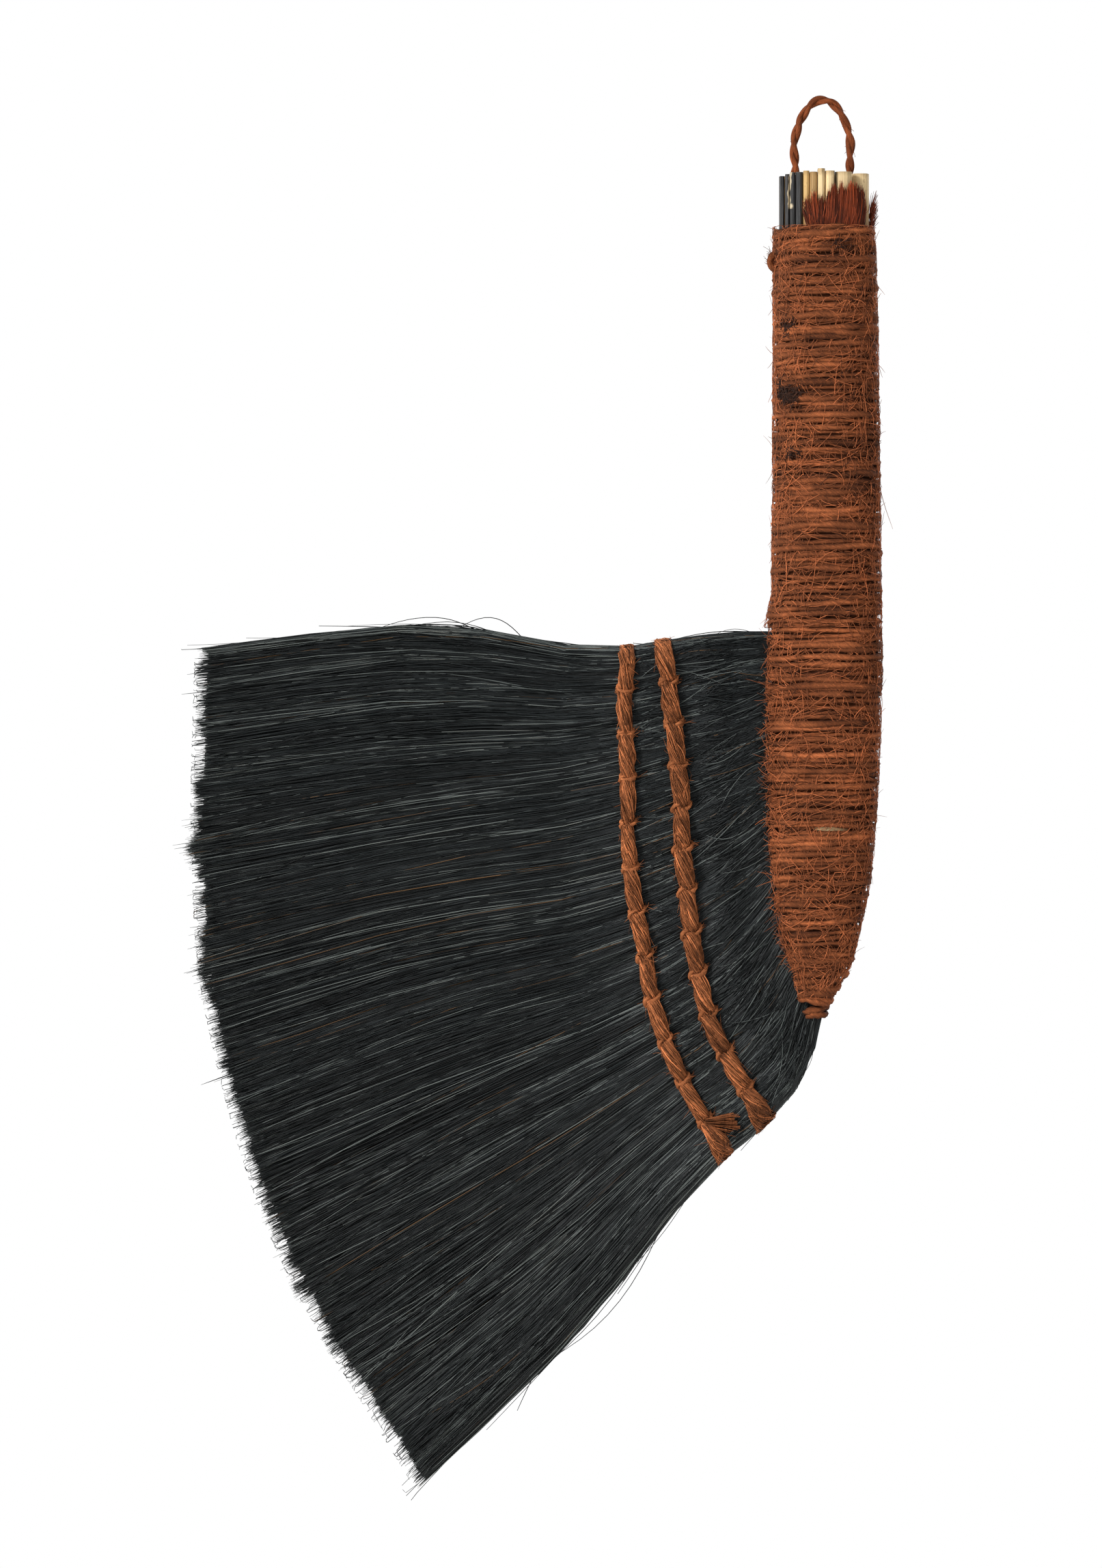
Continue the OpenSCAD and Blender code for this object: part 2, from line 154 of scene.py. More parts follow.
# ---------------------------------------------------------------- curves
def cubic(a, b, slope_a, slope_b, f):
    """A smooth step from a to b with the given slopes, f from 0 to 1."""
    return (
        a * (2 * f**3 - 3 * f**2 + 1)
        + slope_a * (f**3 - 2 * f**2 + f)
        + b * (3 * f**2 - 2 * f**3)
        + slope_b * (f**3 - f**2)
    )


def even(rows, u):
    """Smooth values through evenly spaced rows, u from 0 to 1."""
    rows = np.asarray(rows, float)
    last = len(rows) - 1
    u = np.asarray(u, float)
    k = np.clip(np.floor(u * last).astype(int), 0, last - 1)
    slopes = np.empty_like(rows)
    slopes[1:-1] = (rows[2:] - rows[:-2]) / 2
    slopes[0] = rows[1] - rows[0]
    slopes[-1] = rows[-1] - rows[-2]
    f = u * last - k
    if rows.ndim == 2:
        f = f[..., None]
    return cubic(rows[k], rows[k + 1], slopes[k], slopes[k + 1], f)


def hill(value, middle, spread):
    """1 at the middle, falling off smoothly on both sides."""
    return np.exp(-(((value - middle) / spread) ** 2))


def unit(vectors, tiny=0.0):
    """Vectors at length 1. A tiny value lets zero lengths pass."""
    return vectors / (np.linalg.norm(vectors, axis=-1, keepdims=True) + tiny)


def distances(line):
    """Distances along a line of points, from its start."""
    return np.concatenate([[0], np.cumsum(np.linalg.norm(np.diff(line, axis=0), axis=1))])


def pick(rows, k):
    """The row with number k at each place."""
    return np.take_along_axis(rows, k, axis=-2)[..., 0, :]


def fan_point(u, s):
    """Places in the fan as (x, z): u across it from 0 to 1, s along the bristles from 0 to 5."""
    u, s = np.broadcast_arrays(np.asarray(u, float), np.asarray(s, float))
    lines = np.stack([even(line, u) for line in FAN_LINES], axis=-2)
    step = np.diff(lines, axis=-2)
    length = np.linalg.norm(step, axis=-1, keepdims=True)
    way = step / length
    slope = np.empty_like(lines)
    slope[..., 0, :] = way[..., 0, :]
    slope[..., -1, :] = way[..., -1, :]
    before = length[..., :-1, :]
    after = length[..., 1:, :]
    slope[..., 1:-1, :] = (way[..., :-1, :] * after + way[..., 1:, :] * before) / (before + after)
    k = np.clip(np.floor(s).astype(int), 0, 4)[..., None, None]
    span = pick(length, k)
    slope_there = pick(slope, k + 1) * span
    f = (s - k[..., 0, 0])[..., None]
    # beyond the tips a bristle runs straight on
    inside = np.minimum(f, 1.0)
    place = cubic(pick(lines, k), pick(lines, k + 1), pick(slope, k) * span, slope_there, inside)
    place += slope_there * (f - inside)
    # the lowest bristles belly out between the handle and the first row
    belly = 2.1 * np.clip((u - 0.8) / 0.2, 0, 1) ** 2 * hill(s, 1.45, 0.3)
    return np.stack([0.85 * belly - place[..., 0], FAN_TOP - place[..., 1] - 0.5 * belly], axis=-1)


def in_fan(u, s, y):
    """Points in the fan at distances y behind its middle plane."""
    flat = fan_point(u, s)
    return np.stack([flat[..., 0], y, flat[..., 1]], axis=-1)


def fan_half(u, s):
    """Half thickness of the fan at a place, drawn in at the stitched rows and round at its edges."""
    u, s = np.broadcast_arrays(np.asarray(u, float), np.asarray(s, float))
    rows = np.stack([even(row, u) for row in FAN_HALF], axis=-1)
    k = np.clip(np.floor(s).astype(int), 0, 4)[..., None]
    f = np.clip(s - k[..., 0], 0, 1)
    f = f * f * (3 - 2 * f)
    half = np.take_along_axis(rows, k, axis=-1)[..., 0] * (1 - f)
    half = half + np.take_along_axis(rows, k + 1, axis=-1)[..., 0] * f
    half = half + 0.7 * hill(s, 2.5, 0.3) + 0.9 * hill(s, 1.45, 0.3)
    width = np.interp(s, range(6), FAN_WIDTH)
    near = hill(s, 2, 0.35) + hill(s, 3, 0.35)
    groove = np.abs((u * BUNDLES + 0.5) % 1 - 0.5) * width / BUNDLES
    half = half * (1 - 0.3 * near * hill(groove, 0, 1.6))
    edge = np.clip(np.minimum(u, 1 - u) * width / 4.5, 0, 1)
    return half * np.sqrt(1 - (1 - edge) ** 2)


def handle_section(z):
    """Middle, half width and half depth of the wound handle at heights z."""
    rows = [[WIND_TOP - r[0] * GRIP_LENGTH, *r[1:]] for r in GRIP[:-1]]
    rows += [[FAN_TOP - r[0] * HEEL_LENGTH, *r[1:]] for r in HEEL]
    rows = np.array(sorted(rows))
    left, right, deep = (np.interp(z, rows[:, 0], rows[:, k]) for k in (1, 2, 3))
    return GRIP_SHIFT + (right - left) / 2, (left + right) / 2, deep


def on_handle(z, angle, out):
    """Points on the wound handle: angle runs from the right side over the back, out stands proud of it."""
    middle, wide, deep = handle_section(z)
    power = 2 / OVAL_POWER
    x = middle + (wide + out) * np.sign(np.cos(angle)) * np.abs(np.cos(angle)) ** power
    y = (deep + out) * np.sign(np.sin(angle)) * np.abs(np.sin(angle)) ** power
    return np.stack([x, y, z + 0 * x], axis=-1)


def front_angle(x, wide=13.4):
    """Angle on the handle's front face at a distance right of its middle."""
    share = np.clip(x / wide, -0.999, 0.999)
    return -np.arccos(np.sign(share) * np.abs(share) ** (OVAL_POWER / 2))


def wander(rng, count, reach):
    """A smooth random line of count values, which turns about every reach values."""
    knots = max(3, int(count / reach) + 2)
    return even(rng.normal(size=knots), np.linspace(0, 1, count))


def smooth_line(points, step):
    """A line through points with evenly spaced places, about a step apart."""
    points = np.asarray(points, float)
    fine = even(points, np.linspace(0, 1, len(points) * 24))
    run = distances(fine)
    places = np.linspace(0, run[-1], int(run[-1] / step) + 1)
    return np.stack([np.interp(places, run, fine[:, k]) for k in range(3)], axis=1)


def loose_hair(rng, way, length, radius):
    """Five points of a short hair that leaves a cord's surface along way and curls off."""
    out = unit(np.cross(way, rng.normal(size=3)))
    t = np.linspace(0, 1, 5)[:, None]
    bend = rng.normal(size=3) * 0.25
    return out * (radius * 0.8 + length * 0.35 * t) + way * length * t * 0.7 + bend * length * t * t


# ---------------------------------------------------------------- meshes
def ring_faces(number, rings, sides):
    """Faces of a number of tubes, each made of rings of points."""
    first = (np.arange(number)[:, None, None] * rings + np.arange(rings - 1)[None, :, None]) * sides
    k = np.arange(sides)
    after = (k + 1) % sides
    faces = np.stack([first + k, first + sides + k, first + sides + after, first + after], axis=-1)
    return faces.reshape(-1, 4)


def strands(ways, radii, sides=3, up=(0.0, 1.0, 0.0), flat=1.0, twist=0.0, stretch=0.12):
    """Points, faces and grain of round strands along ways (number, steps, 3), with radii (number, steps)."""
    ways = np.asarray(ways, float)
    number, steps, _ = ways.shape
    along = unit(np.gradient(ways, axis=1), 1e-9)
    side = unit(np.cross(along, np.broadcast_to(up, ways.shape)), 1e-9)
    top = np.cross(side, along)
    angle = TURN * np.arange(sides) / sides
    ring = np.cos(angle)[:, None] * side[:, :, None, :] + flat * np.sin(angle)[:, None] * top[:, :, None, :]
    radii = np.asarray(radii, float)
    if radii.ndim == 2:
        radii = radii[:, :, None]
    points = ways[:, :, None, :] + radii[..., None] * ring
    run = np.zeros((number, steps))
    run[:, 1:] = np.cumsum(np.linalg.norm(np.diff(ways, axis=1), axis=2), axis=1)
    turned = angle + run[:, :, None] * twist
    size = radii + 0 * turned
    grain = [np.cos(turned) * size, np.sin(turned) * size, run[:, :, None] * stretch + 0 * turned]
    return points.reshape(-1, 3), ring_faces(number, steps, sides), np.stack(grain, -1).reshape(-1, 3)


def hair_mesh(ways, thick, tone, up=(0.0, 1.0, 0.0)):
    """Three-sided strands with one tone for each strand, or for each of its places."""
    mesh = strands(ways, thick, up=up)
    return (*mesh, np.repeat(np.ravel(tone), len(mesh[0]) // np.size(tone)))


def tapered(rng, number, thin, thick, loss):
    """Random radii of hairs, each of which loses a share along its way."""
    return rng.uniform(thin, thick, number)[:, None] * (1 - loss)


def merged(parts):
    """Several (points, faces, grain, tone) lists as one."""
    points = np.concatenate([p[0] for p in parts])
    starts = np.cumsum([0] + [len(p[0]) for p in parts[:-1]])
    faces = np.concatenate([p[1] + start for p, start in zip(parts, starts)])
    grain = np.concatenate([p[2] for p in parts])
    tone = np.concatenate([np.broadcast_to(p[3], len(p[0])) for p in parts])
    return points, faces, grain, tone


def make_piece(name, points, faces, grain, tone, finish, slot):
    """A mesh object in metres with its grain and tone, ready to ride."""
    old = bpy.data.objects.get(name)
    if old is not None:
        bpy.data.objects.remove(old)
    mesh = bpy.data.meshes.new(name)
    mesh.vertices.add(len(points))
    mesh.vertices.foreach_set("co", (points * MM).astype(np.float32).ravel())
    mesh.loops.add(faces.size)
    mesh.loops.foreach_set("vertex_index", faces.astype(np.int32).ravel())
    mesh.polygons.add(len(faces))
    mesh.polygons.foreach_set("loop_start", np.arange(0, faces.size, 4, dtype=np.int32))
    mesh.polygons.foreach_set("use_smooth", np.ones(len(faces), bool))
    mesh.update(calc_edges=True)
    tones = mesh.attributes.new("tone", "FLOAT", "POINT")
    tones.data.foreach_set("value", np.broadcast_to(tone, len(points)).astype(np.float32))
    grains = mesh.attributes.new("grain", "FLOAT_VECTOR", "POINT")
    grains.data.foreach_set("vector", grain.astype(np.float32).ravel())
    piece = bpy.data.objects.new(name, mesh)
    bpy.context.scene.collection.objects.link(piece)
    mesh.materials.append(finish)
    return piece


# ---------------------------------------------------------------- finishes
class Value:
    """A value in a material's nodes, so that shader maths reads as arithmetic."""

    def __init__(self, finish, socket):
        self.finish = finish
        self.socket = socket

    def maths(self, operation, *others):
        """A Math node on this value and the others."""
        inputs = dict(enumerate((self, *others)))
        return self.finish.node("ShaderNodeMath", {"operation": operation}, inputs)

    def __add__(self, other):
        return self.maths("ADD", other)

    def __mul__(self, other):
        return self.maths("MULTIPLY", other)

    def __sub__(self, other):
        return self.maths("SUBTRACT", other)

    def __truediv__(self, other):
        return self.maths("DIVIDE", other)

    def __rsub__(self, other):
        return self.maths("MULTIPLY_ADD", -1.0, other)

    __radd__ = __add__
    __rmul__ = __mul__

    def clamped(self):
        """This value between 0 and 1."""
        return self.finish.node("ShaderNodeClamp", {}, {0: self})

    def near(self, middle, spread):
        """1 at the middle, falling to 0 at a spread away from it."""
        return (1 - (self - middle).maths("ABSOLUTE") / spread).clamped()


class Nodes:
    """A node tree that is built up from nothing."""

    def __init__(self, tree):
        self.tree = tree
        self.tree.nodes.clear()

    def node(self, kind, settings=None, sockets=None, output=0):
        """Adds a node: its settings first, then the values or links of its sockets."""
        node = self.tree.nodes.new(kind)
        node.location = (200 * (len(self.tree.nodes) // 6), -260 * (len(self.tree.nodes) % 6))
        for name, value in (settings or {}).items():
            if name == "stops":
                self.set_stops(node.color_ramp, value)
            else:
                setattr(node, name, value)
        for name, value in (sockets or {}).items():
            if isinstance(value, Value):
                self.tree.links.new(value.socket, node.inputs[name])
            else:
                node.inputs[name].default_value = value
        return Value(self, node.outputs[output]) if node.outputs else None

    @staticmethod
    def set_stops(ramp, stops):
        """Gives a colour ramp its (place, colour) stops."""
        ramp.elements[0].position = stops[0][0]
        ramp.elements[0].color = (*stops[0][1], 1)
        ramp.elements[1].position = stops[-1][0]
        ramp.elements[1].color = (*stops[-1][1], 1)
        for place, colour in stops[1:-1]:
            ramp.elements.new(place).color = (*colour, 1)

    def axis(self, vector, name):
        """One part of a vector."""
        return self.node("ShaderNodeSeparateXYZ", {}, {0: vector}, name)


class Finish(Nodes):
    """A material that is built up from nodes."""

    def __init__(self, name):
        old = bpy.data.materials.get(name)
        if old is not None:
            bpy.data.materials.remove(old)
        self.material = bpy.data.materials.new(name)
        self.material.use_nodes = True
        super().__init__(self.material.node_tree)
        self.known_place = None

    def attribute(self, name, output):
        """A mesh attribute: its number is the output Fac and its vector the output Vector."""
        return self.node("ShaderNodeAttribute", {"attribute_name": name}, {}, output)

    def scaled(self, vector, by):
        """A vector stretched along each axis."""
        return self.node("ShaderNodeVectorMath", {"operation": "MULTIPLY"}, {0: vector, 1: by})

    @property
    def place(self):
        """Places in the piece's frame, in millimetres, as a vector."""
        if self.known_place is None:
            coordinates = self.node("ShaderNodeTexCoord", {}, {}, "Object")
            self.known_place = self.scaled(coordinates, (1 / MM, 1 / MM, 1 / MM))
        return self.known_place

    def cloud(self, stretch, detail=2.0, rough=0.5):
        """Noise over the piece, so many cells per millimetre along each axis."""
        return self.noise(self.scaled(self.place, stretch), 1.0, detail, rough)

    def noise(self, vector, scale, detail=2.0, rough=0.5):
        """Noise from 0 to 1 over a vector."""
        sockets = {"Vector": vector, "Scale": scale, "Detail": detail, "Roughness": rough}
        return self.node("ShaderNodeTexNoise", {}, sockets)

    def ramp(self, value, stops):
        """A colour that follows a value."""
        return self.node("ShaderNodeValToRGB", {"stops": stops}, {0: value})

    def shades(self, value, main, stops):
        """A colour that follows a value, with stops of (place, how light)."""
        return self.ramp(value, [(place, times(main, light)) for place, light in stops])

    def mixed(self, factor, a, b):
        """Two colours mixed."""
        a = a if isinstance(a, Value) else (*a, 1)
        b = b if isinstance(b, Value) else (*b, 1)
        return self.node("ShaderNodeMix", {"data_type": "RGBA"}, {0: factor, 6: a, 7: b}, 2)

    def bump(self, height, distance, strength=1.0):
        """A normal from heights in millimetres."""
        sockets = {"Height": height, "Distance": distance * MM, "Strength": strength}
        return self.node("ShaderNodeBump", {}, sockets)

    def surface(self, constants, **varying):
        """The finished material, from its constant sockets and its varying ones."""
        names = {"colour": "Base Color", "roughness": "Roughness", "normal": "Normal"}
        sockets = dict(constants)
        sockets.update({names[name]: value for name, value in varying.items()})
        shader = self.node("ShaderNodeBsdfPrincipled", {}, sockets)
        self.node("ShaderNodeOutputMaterial", {}, {"Surface": shader})
        return self.material


def from_hex(code):
    """A linear colour from a hexadecimal one."""
    parts = [((code >> shift) & 255) / 255 for shift in (16, 8, 0)]
    return tuple(p / 12.92 if p <= 0.04045 else ((p + 0.055) / 1.055) ** 2.4 for p in parts)


def hue(name):
    """One of the colours that a user may change."""
    return tuple(getattr(bpy.context.scene.whisk_broom_colours, name))


def times(colour, factor):
    """A colour made lighter or darker."""
    return tuple(min(1.0, part * factor) for part in colour)


def bristle_finish():
    """Dark plant fibre: each bristle has its own tone, the palest partly painted sheen, and a few are brown.
    """
    finish = Finish("dark_bristle")
    tone = finish.attribute("tone", "Fac")
    spots = finish.cloud((0.12, 0.12, 0.12), 2.0)
    shade = tone * 0.5 + (spots - 0.5) * 0.16
    dark = hue("bristle")
    # painted sheen: the sheen colour stands partly for paler fibres and partly for the highlights that the
    # bristles catch
    light = hue("bristle_sheen")
    brown = hue("bristle_brown")
    stops = [
        (0.0, times(dark, 0.4)),
        (0.2, dark),
        (0.36, times(dark, 1.9)),
        (0.5, light),
        (0.62, times(brown, 0.5)),
        (1.0, brown),
    ]
    colour = finish.ramp(shade, stops)
    rough = 0.42 + spots * 0.2
    constants = {"Specular IOR Level": 0.26, "IOR": 1.5}
    return finish.surface(constants, colour=colour, roughness=rough)


def core_finish():
    """The inside of the fan: the bristle colour darkened as painted shade."""
    finish = Finish("bristle_depths")
    streaks = finish.noise(finish.attribute("grain", "Vector"), 1.6, 3.0)
    # painted shade: bristle colour at an eighth to under half its brightness
    colour = finish.shades(streaks, hue("bristle"), ((0.3, 0.12), (0.7, 0.45)))
    normal = finish.bump(streaks, 0.4)
    rough = 0.8 - streaks * 0.1
    return finish.surface({"Specular IOR Level": 0.05}, colour=colour, roughness=rough, normal=normal)


def twine_finish(name, main, across=2.6, patches=0.22, spot=0.0):
    """Hairy twisted fibre: streaks that run with the twist, and paler and darker patches."""
    finish = Finish(name)
    grain = finish.attribute("grain", "Vector")
    tone = finish.attribute("tone", "Fac")
    streaks = finish.noise(grain, across, 4.0, 0.65)
    patch = finish.noise(finish.place, patches, 3.0, 0.6)
    # tone carries each strand's own shade of colour, and also painted shade: on the winding's sides that
    # face the next turn and in the cords' cores
    shade = streaks * 0.95 + patch * 0.6 + tone * 0.6 - 0.6
    stops = ((0.12, 0.22), (0.36, 0.62), (0.55, 1), (0.75, 1.75), (0.95, 2.7))
    colour = finish.shades(shade, main, stops)
    if spot > 0:
        stains = finish.cloud((0.13, 0.13, 0.4), 2.0)
        stained = ((stains - (1 - spot)) * 9).clamped()
        colour = finish.mixed(stained * 0.75, colour, times(main, 0.18))
    normal = finish.bump(streaks, 0.5, 0.9)
    rough = 0.78 + streaks * 0.2
    return finish.surface({"Specular IOR Level": 0.16}, colour=colour, roughness=rough, normal=normal)


def hair_finish(name, main):
    """Fine loose hairs of the twine, each with its own tone."""
    finish = Finish(name)
    tone = finish.attribute("tone", "Fac")
    grain = finish.noise(finish.place, 0.7, 2.0)
    stops = ((0.0, 0.07), (0.14, 0.16), (0.32, 0.6), (0.6, 1.4), (1.0, 3.0))
    colour = finish.shades(tone * 0.85 + grain * 0.2, main, stops)
    return finish.surface({"Specular IOR Level": 0.25}, colour=colour, roughness=0.6 + grain * 0.2)


def sleeve_finish():
    """What shows between the turns: twine colour darkened as painted shade, and pale cane at a few thin
    places.
    """
    finish = Finish("winding_depths")
    x = finish.axis(finish.place, "X")
    z = finish.axis(finish.place, "Z")
    grain = finish.cloud((0.5, 0.5, 3.0), 3.0)
    # painted shade: the twine colour at a tenth to two fifths of its brightness
    depths = finish.shades(grain, hue("winding"), ((0.3, 0.10), (0.7, 0.4)))
    bare = z.near(THIN_PLACE, 1.8) * x.near(2.0, 5.0) + z.near(SIDE_THIN_PLACE, 1.4) * x.near(8.0, 3.0)
    cane = finish.shades(grain, hue("cane"), ((0.3, 0.5), (0.6, 1)))
    colour = finish.mixed((bare * 3).clamped(), depths, cane)
    normal = finish.bump(grain, 0.5)
    rough = 0.85 - grain * 0.1
    return finish.surface({"Specular IOR Level": 0.1}, colour=colour, roughness=rough, normal=normal)


def cane_finish(name, main, stain, lustre):
    """Split cane: fine grain up its length, brown flecks and a stained cut end."""
    finish = Finish(name)
    x = finish.axis(finish.place, "X")
    z = finish.axis(finish.place, "Z")
    grain = finish.cloud((3.2, 3.2, 0.14), 4.0, 0.6)
    ribs = finish.cloud((1.5, 1.5, 0.03), 2.0)
    cloud = finish.cloud((0.5, 0.5, 0.16), 3.0)
    shade = grain * 0.4 + ribs * 0.4 + cloud * 0.4 - 0.1
    colour = finish.shades(shade, main, ((0.2, 0.42), (0.38, 0.85), (0.55, 1), (0.85, 1.28)))
    flecks = finish.cloud((2.4, 2.4, 0.8), 2.0)
    flecked = ((flecks - 0.66) * 14).clamped()
    colour = finish.mixed(flecked * stain, colour, from_hex(0x5A3C1E))
    end = ((z - (STALK_TOP - 0.9)) * 0.9 + cloud * 0.6).clamped()
    colour = finish.mixed(end * 0.42, colour, from_hex(0x7A5C34))
    foot = ((STALK_TOP - 6.5 - z) * 0.12 + cloud * 1.3 - 0.65).clamped()
    colour = finish.mixed(foot * 0.85, colour, from_hex(0x8A5A30))
    # painted shade: a near-black line where two stalks meet, at x = 3.05 mm, for the shadow in the crevice
    # between them
    painted_gap_shade = x.near(3.05, 0.3)
    colour = finish.mixed((painted_gap_shade * 2).clamped() * 0.93, colour, from_hex(0x17130F))
    normal = finish.bump(ribs * 1.2 + grain * 0.4, 0.5, 0.8)
    rough = 0.52 - ribs * 0.12
    return finish.surface({"Specular IOR Level": lustre}, colour=colour, roughness=rough, normal=normal)


def dyed_finish():
    """Dyed black cane: glossy ribs up its length, their raised tops paler with painted highlight, and a pale
    scar where a twig was cut.
    """
    finish = Finish("dyed_cane")
    x = finish.axis(finish.place, "X")
    z = finish.axis(finish.place, "Z")
    grain = finish.cloud((4.0, 4.0, 0.12), 4.0, 0.6)
    ribs = finish.cloud((1.6, 1.6, 0.05), 2.0)
    # the grain's streaks are the cane's own; the paler raised ribs are painted highlight
    stops = ((0.3, 0.35), (0.5, 1), (0.68, 2.3), (0.85, 4.0))
    colour = finish.shades(grain * 0.45 + ribs * 0.6, hue("dyed"), stops)
    bend = finish.cloud((0.0, 0.0, 0.35), 1.0)
    line = (x + (bend - 0.5) * 1.4 - (z - (STALK_TOP - 5)) * 0.05).near(-9.25, 0.42) * 2.2
    length = ((z - (STALK_TOP - 9.0)) * 1.6).clamped()
    knob = z.near(STALK_TOP - 9.2, 0.9) * x.near(-8.9, 0.9) * 2.0
    scar = (line.clamped() * length + knob.clamped() + (grain - 0.5) * 0.5 - 0.12).clamped()
    colour = finish.mixed(scar, colour, from_hex(0xC9B898))
    end = ((z - (STALK_TOP - 0.35)) * 3.0).clamped()
    colour = finish.mixed(end * 0.35, colour, from_hex(0x6E6455))
    normal = finish.bump(ribs * 1.4 + grain * 0.3, 0.6, 0.9)
    rough = 0.38 + grain * 0.2
    return finish.surface({"Specular IOR Level": 0.5}, colour=colour, roughness=rough, normal=normal)


def floor_finish():
    """A pale matt floor with a faint mottle."""
    finish = Finish("pale_floor")
    cloud = finish.cloud((0.02, 0.02, 0.02), 3.0)
    colour = finish.shades(cloud, hue("floor"), ((0.3, 0.96), (0.7, 1)))
    return finish.surface({"Specular IOR Level": 0.2}, colour=colour, roughness=0.7 + cloud * 0.1)


# ---------------------------------------------------------------- what a user may change
def length_property(name, description, millimetres):
    """A length that a user may change."""
    return FloatProperty(name=name, description=description, default=millimetres * MM, unit="LENGTH")


class WhiskBroomSizes(PropertyGroup):
    """Sizes and counts of the broom's visible pieces."""

    turn_pitch: length_property("Turn pitch", "Distance between neighbouring turns of the winding", 1.5)
    twine_radius: length_property("Twine radius", "Radius of the winding twine", 0.82)
    thread_radius: length_property("Thread radius", "Radius of the stitching thread", 0.57)
    inner_cord_radius: length_property("Inner cord radius", "Radius of the inner row's cord", 2.25)
    outer_cord_radius: length_property("Outer cord radius", "Radius of the outer row's cord", 2.0)
    loop_cord: length_property("Loop cord", "Thickness of the hanging loop's cord", 2.6)
    bristle_radius: length_property("Bristle radius", "Radius of a bristle at its root", 0.17)
    bristles: IntProperty(name="Bristles", description="Bristles in each bundle", default=1600, min=100)
    fuzz: IntProperty(name="Fuzz", description="Loose hairs on each winding", default=6000, min=0)
    strays: IntProperty(name="Strays", description="Bristles that stand off the fan", default=110, min=0)
    trim: length_property("Trim", "Unevenness of the trimmed tips", 1.5)


def colour_property(name, description, code):
    """A colour that a user may change, from a hexadecimal default."""
    limits = {"size": 3, "min": 0.0, "max": 1.0, "subtype": "COLOR"}
    return FloatVectorProperty(name=name, description=description, default=from_hex(code), **limits)


class WhiskBroomColours(PropertyGroup):
    """Colours of the broom and the stage."""

    bristle: colour_property("Bristle", "Main colour of the bristles", 0x171B1C)
    # partly paler fibres, partly painted sheen for the highlights the bristles catch
    bristle_sheen: colour_property("Bristle sheen", "Palest of the dark bristles", 0x6E7471)
    bristle_brown: colour_property("Brown bristle", "The few brown bristles", 0x6E5236)
    winding: colour_property("Winding", "Twine round the handle", 0x7E4628)
    frayed: colour_property("Frayed end", "Combed-out end of the twine", 0x7E371B)
    row_cord: colour_property("Row cord", "Cords stitched along the fan", 0xA0603A)
    loop: colour_property("Loop", "Cord of the hanging loop", 0x7C4022)
    dyed: colour_property("Dyed cane", "Black stalks", 0x1F1E1E)
    cane: colour_property("Cane", "Pale stalks", 0xDDC293)
    warm_cane: colour_property("Warm cane", "Yellower stalk", 0xC9A468)
    tan_cane: colour_property("Tan cane", "Darker natural stalk", 0xA88656)
    floor: colour_property("Floor", "Pale floor", 0xF2F1EE)


# ---------------------------------------------------------------- the pieces
class WHISK_OT_stage(Operator):
    """Sets up the camera, the soft light and the pale floor"""

    bl_idname = "whisk.stage"
    bl_label = "Stage"

    def execute(self, context):
        scene = context.scene
        scene.view_settings.view_transform = "Standard"
        camera_data = bpy.data.cameras.new("broom_camera")
        camera_data.sensor_width = 36
        camera_data.lens = CAMERA_LENS
        camera_data.clip_end = 20
        camera = bpy.data.objects.new("broom_camera", camera_data)
        camera.location = CAMERA_PLACE
        camera.rotation_euler = (math.pi / 2, 0, 0)
        scene.collection.objects.link(camera)
        scene.camera = camera

        world = bpy.data.worlds.new("white_studio")
        world.use_nodes = True
        self.light_round(Nodes(world.node_tree))
        scene.world = world

        aim = Vector((-60 * MM, 0, -190 * MM))
        for name, place, size, power in (
            ("key_light", (-1.5, -1.3, 0.8), 0.5, 44),
            ("side_light", (1.3, -1.3, 0.4), 0.9, 1.5),
            ("back_light", (0.9, 1.6, 0.8), 1.0, 26),
        ):
            light = bpy.data.lights.new(name, "AREA")
            light.size = size
            light.energy = power
            lamp = bpy.data.objects.new(name, light)
            lamp.location = place
            lamp.rotation_mode = "QUATERNION"
            lamp.rotation_quaternion = (aim - Vector(place)).to_track_quat("-Z", "Y")
            scene.collection.objects.link(lamp)

        mesh = bpy.data.meshes.new("floor")
        ring = ((-1, -1), (1, -1), (1, 1), (-1, 1))
        corners = [(x * FLOOR_HALF, y * FLOOR_HALF, FLOOR_HEIGHT) for x, y in ring]
        mesh.from_pydata(corners, [], [(0, 1, 2, 3)])
        floor = bpy.data.objects.new("floor", mesh)
        scene.collection.objects.link(floor)
        mesh.materials.append(floor_finish())
        return {"FINISHED"}

    @staticmethod
    def light_round(nodes):
        """Soft light from all round: white behind the broom, brighter from the left than from the right."""
        direction = nodes.node("ShaderNodeTexCoord", {}, {}, "Generated")
        limits = {"Value": nodes.axis(direction, "Y"), "From Min": 0.72, "From Max": 0.95}
        behind = nodes.node("ShaderNodeMapRange", {"interpolation_type": "SMOOTHSTEP"}, limits)
        side = nodes.axis(direction, "X").maths("MULTIPLY_ADD", -0.28, 0.6)
        strength = nodes.node("ShaderNodeMix", {}, {0: behind, 2: side, 3: 1.0})
        light = nodes.node("ShaderNodeBackground", {}, {"Color": (1, 1, 1, 1), "Strength": strength})
        nodes.node("ShaderNodeOutputWorld", {}, {"Surface": light})


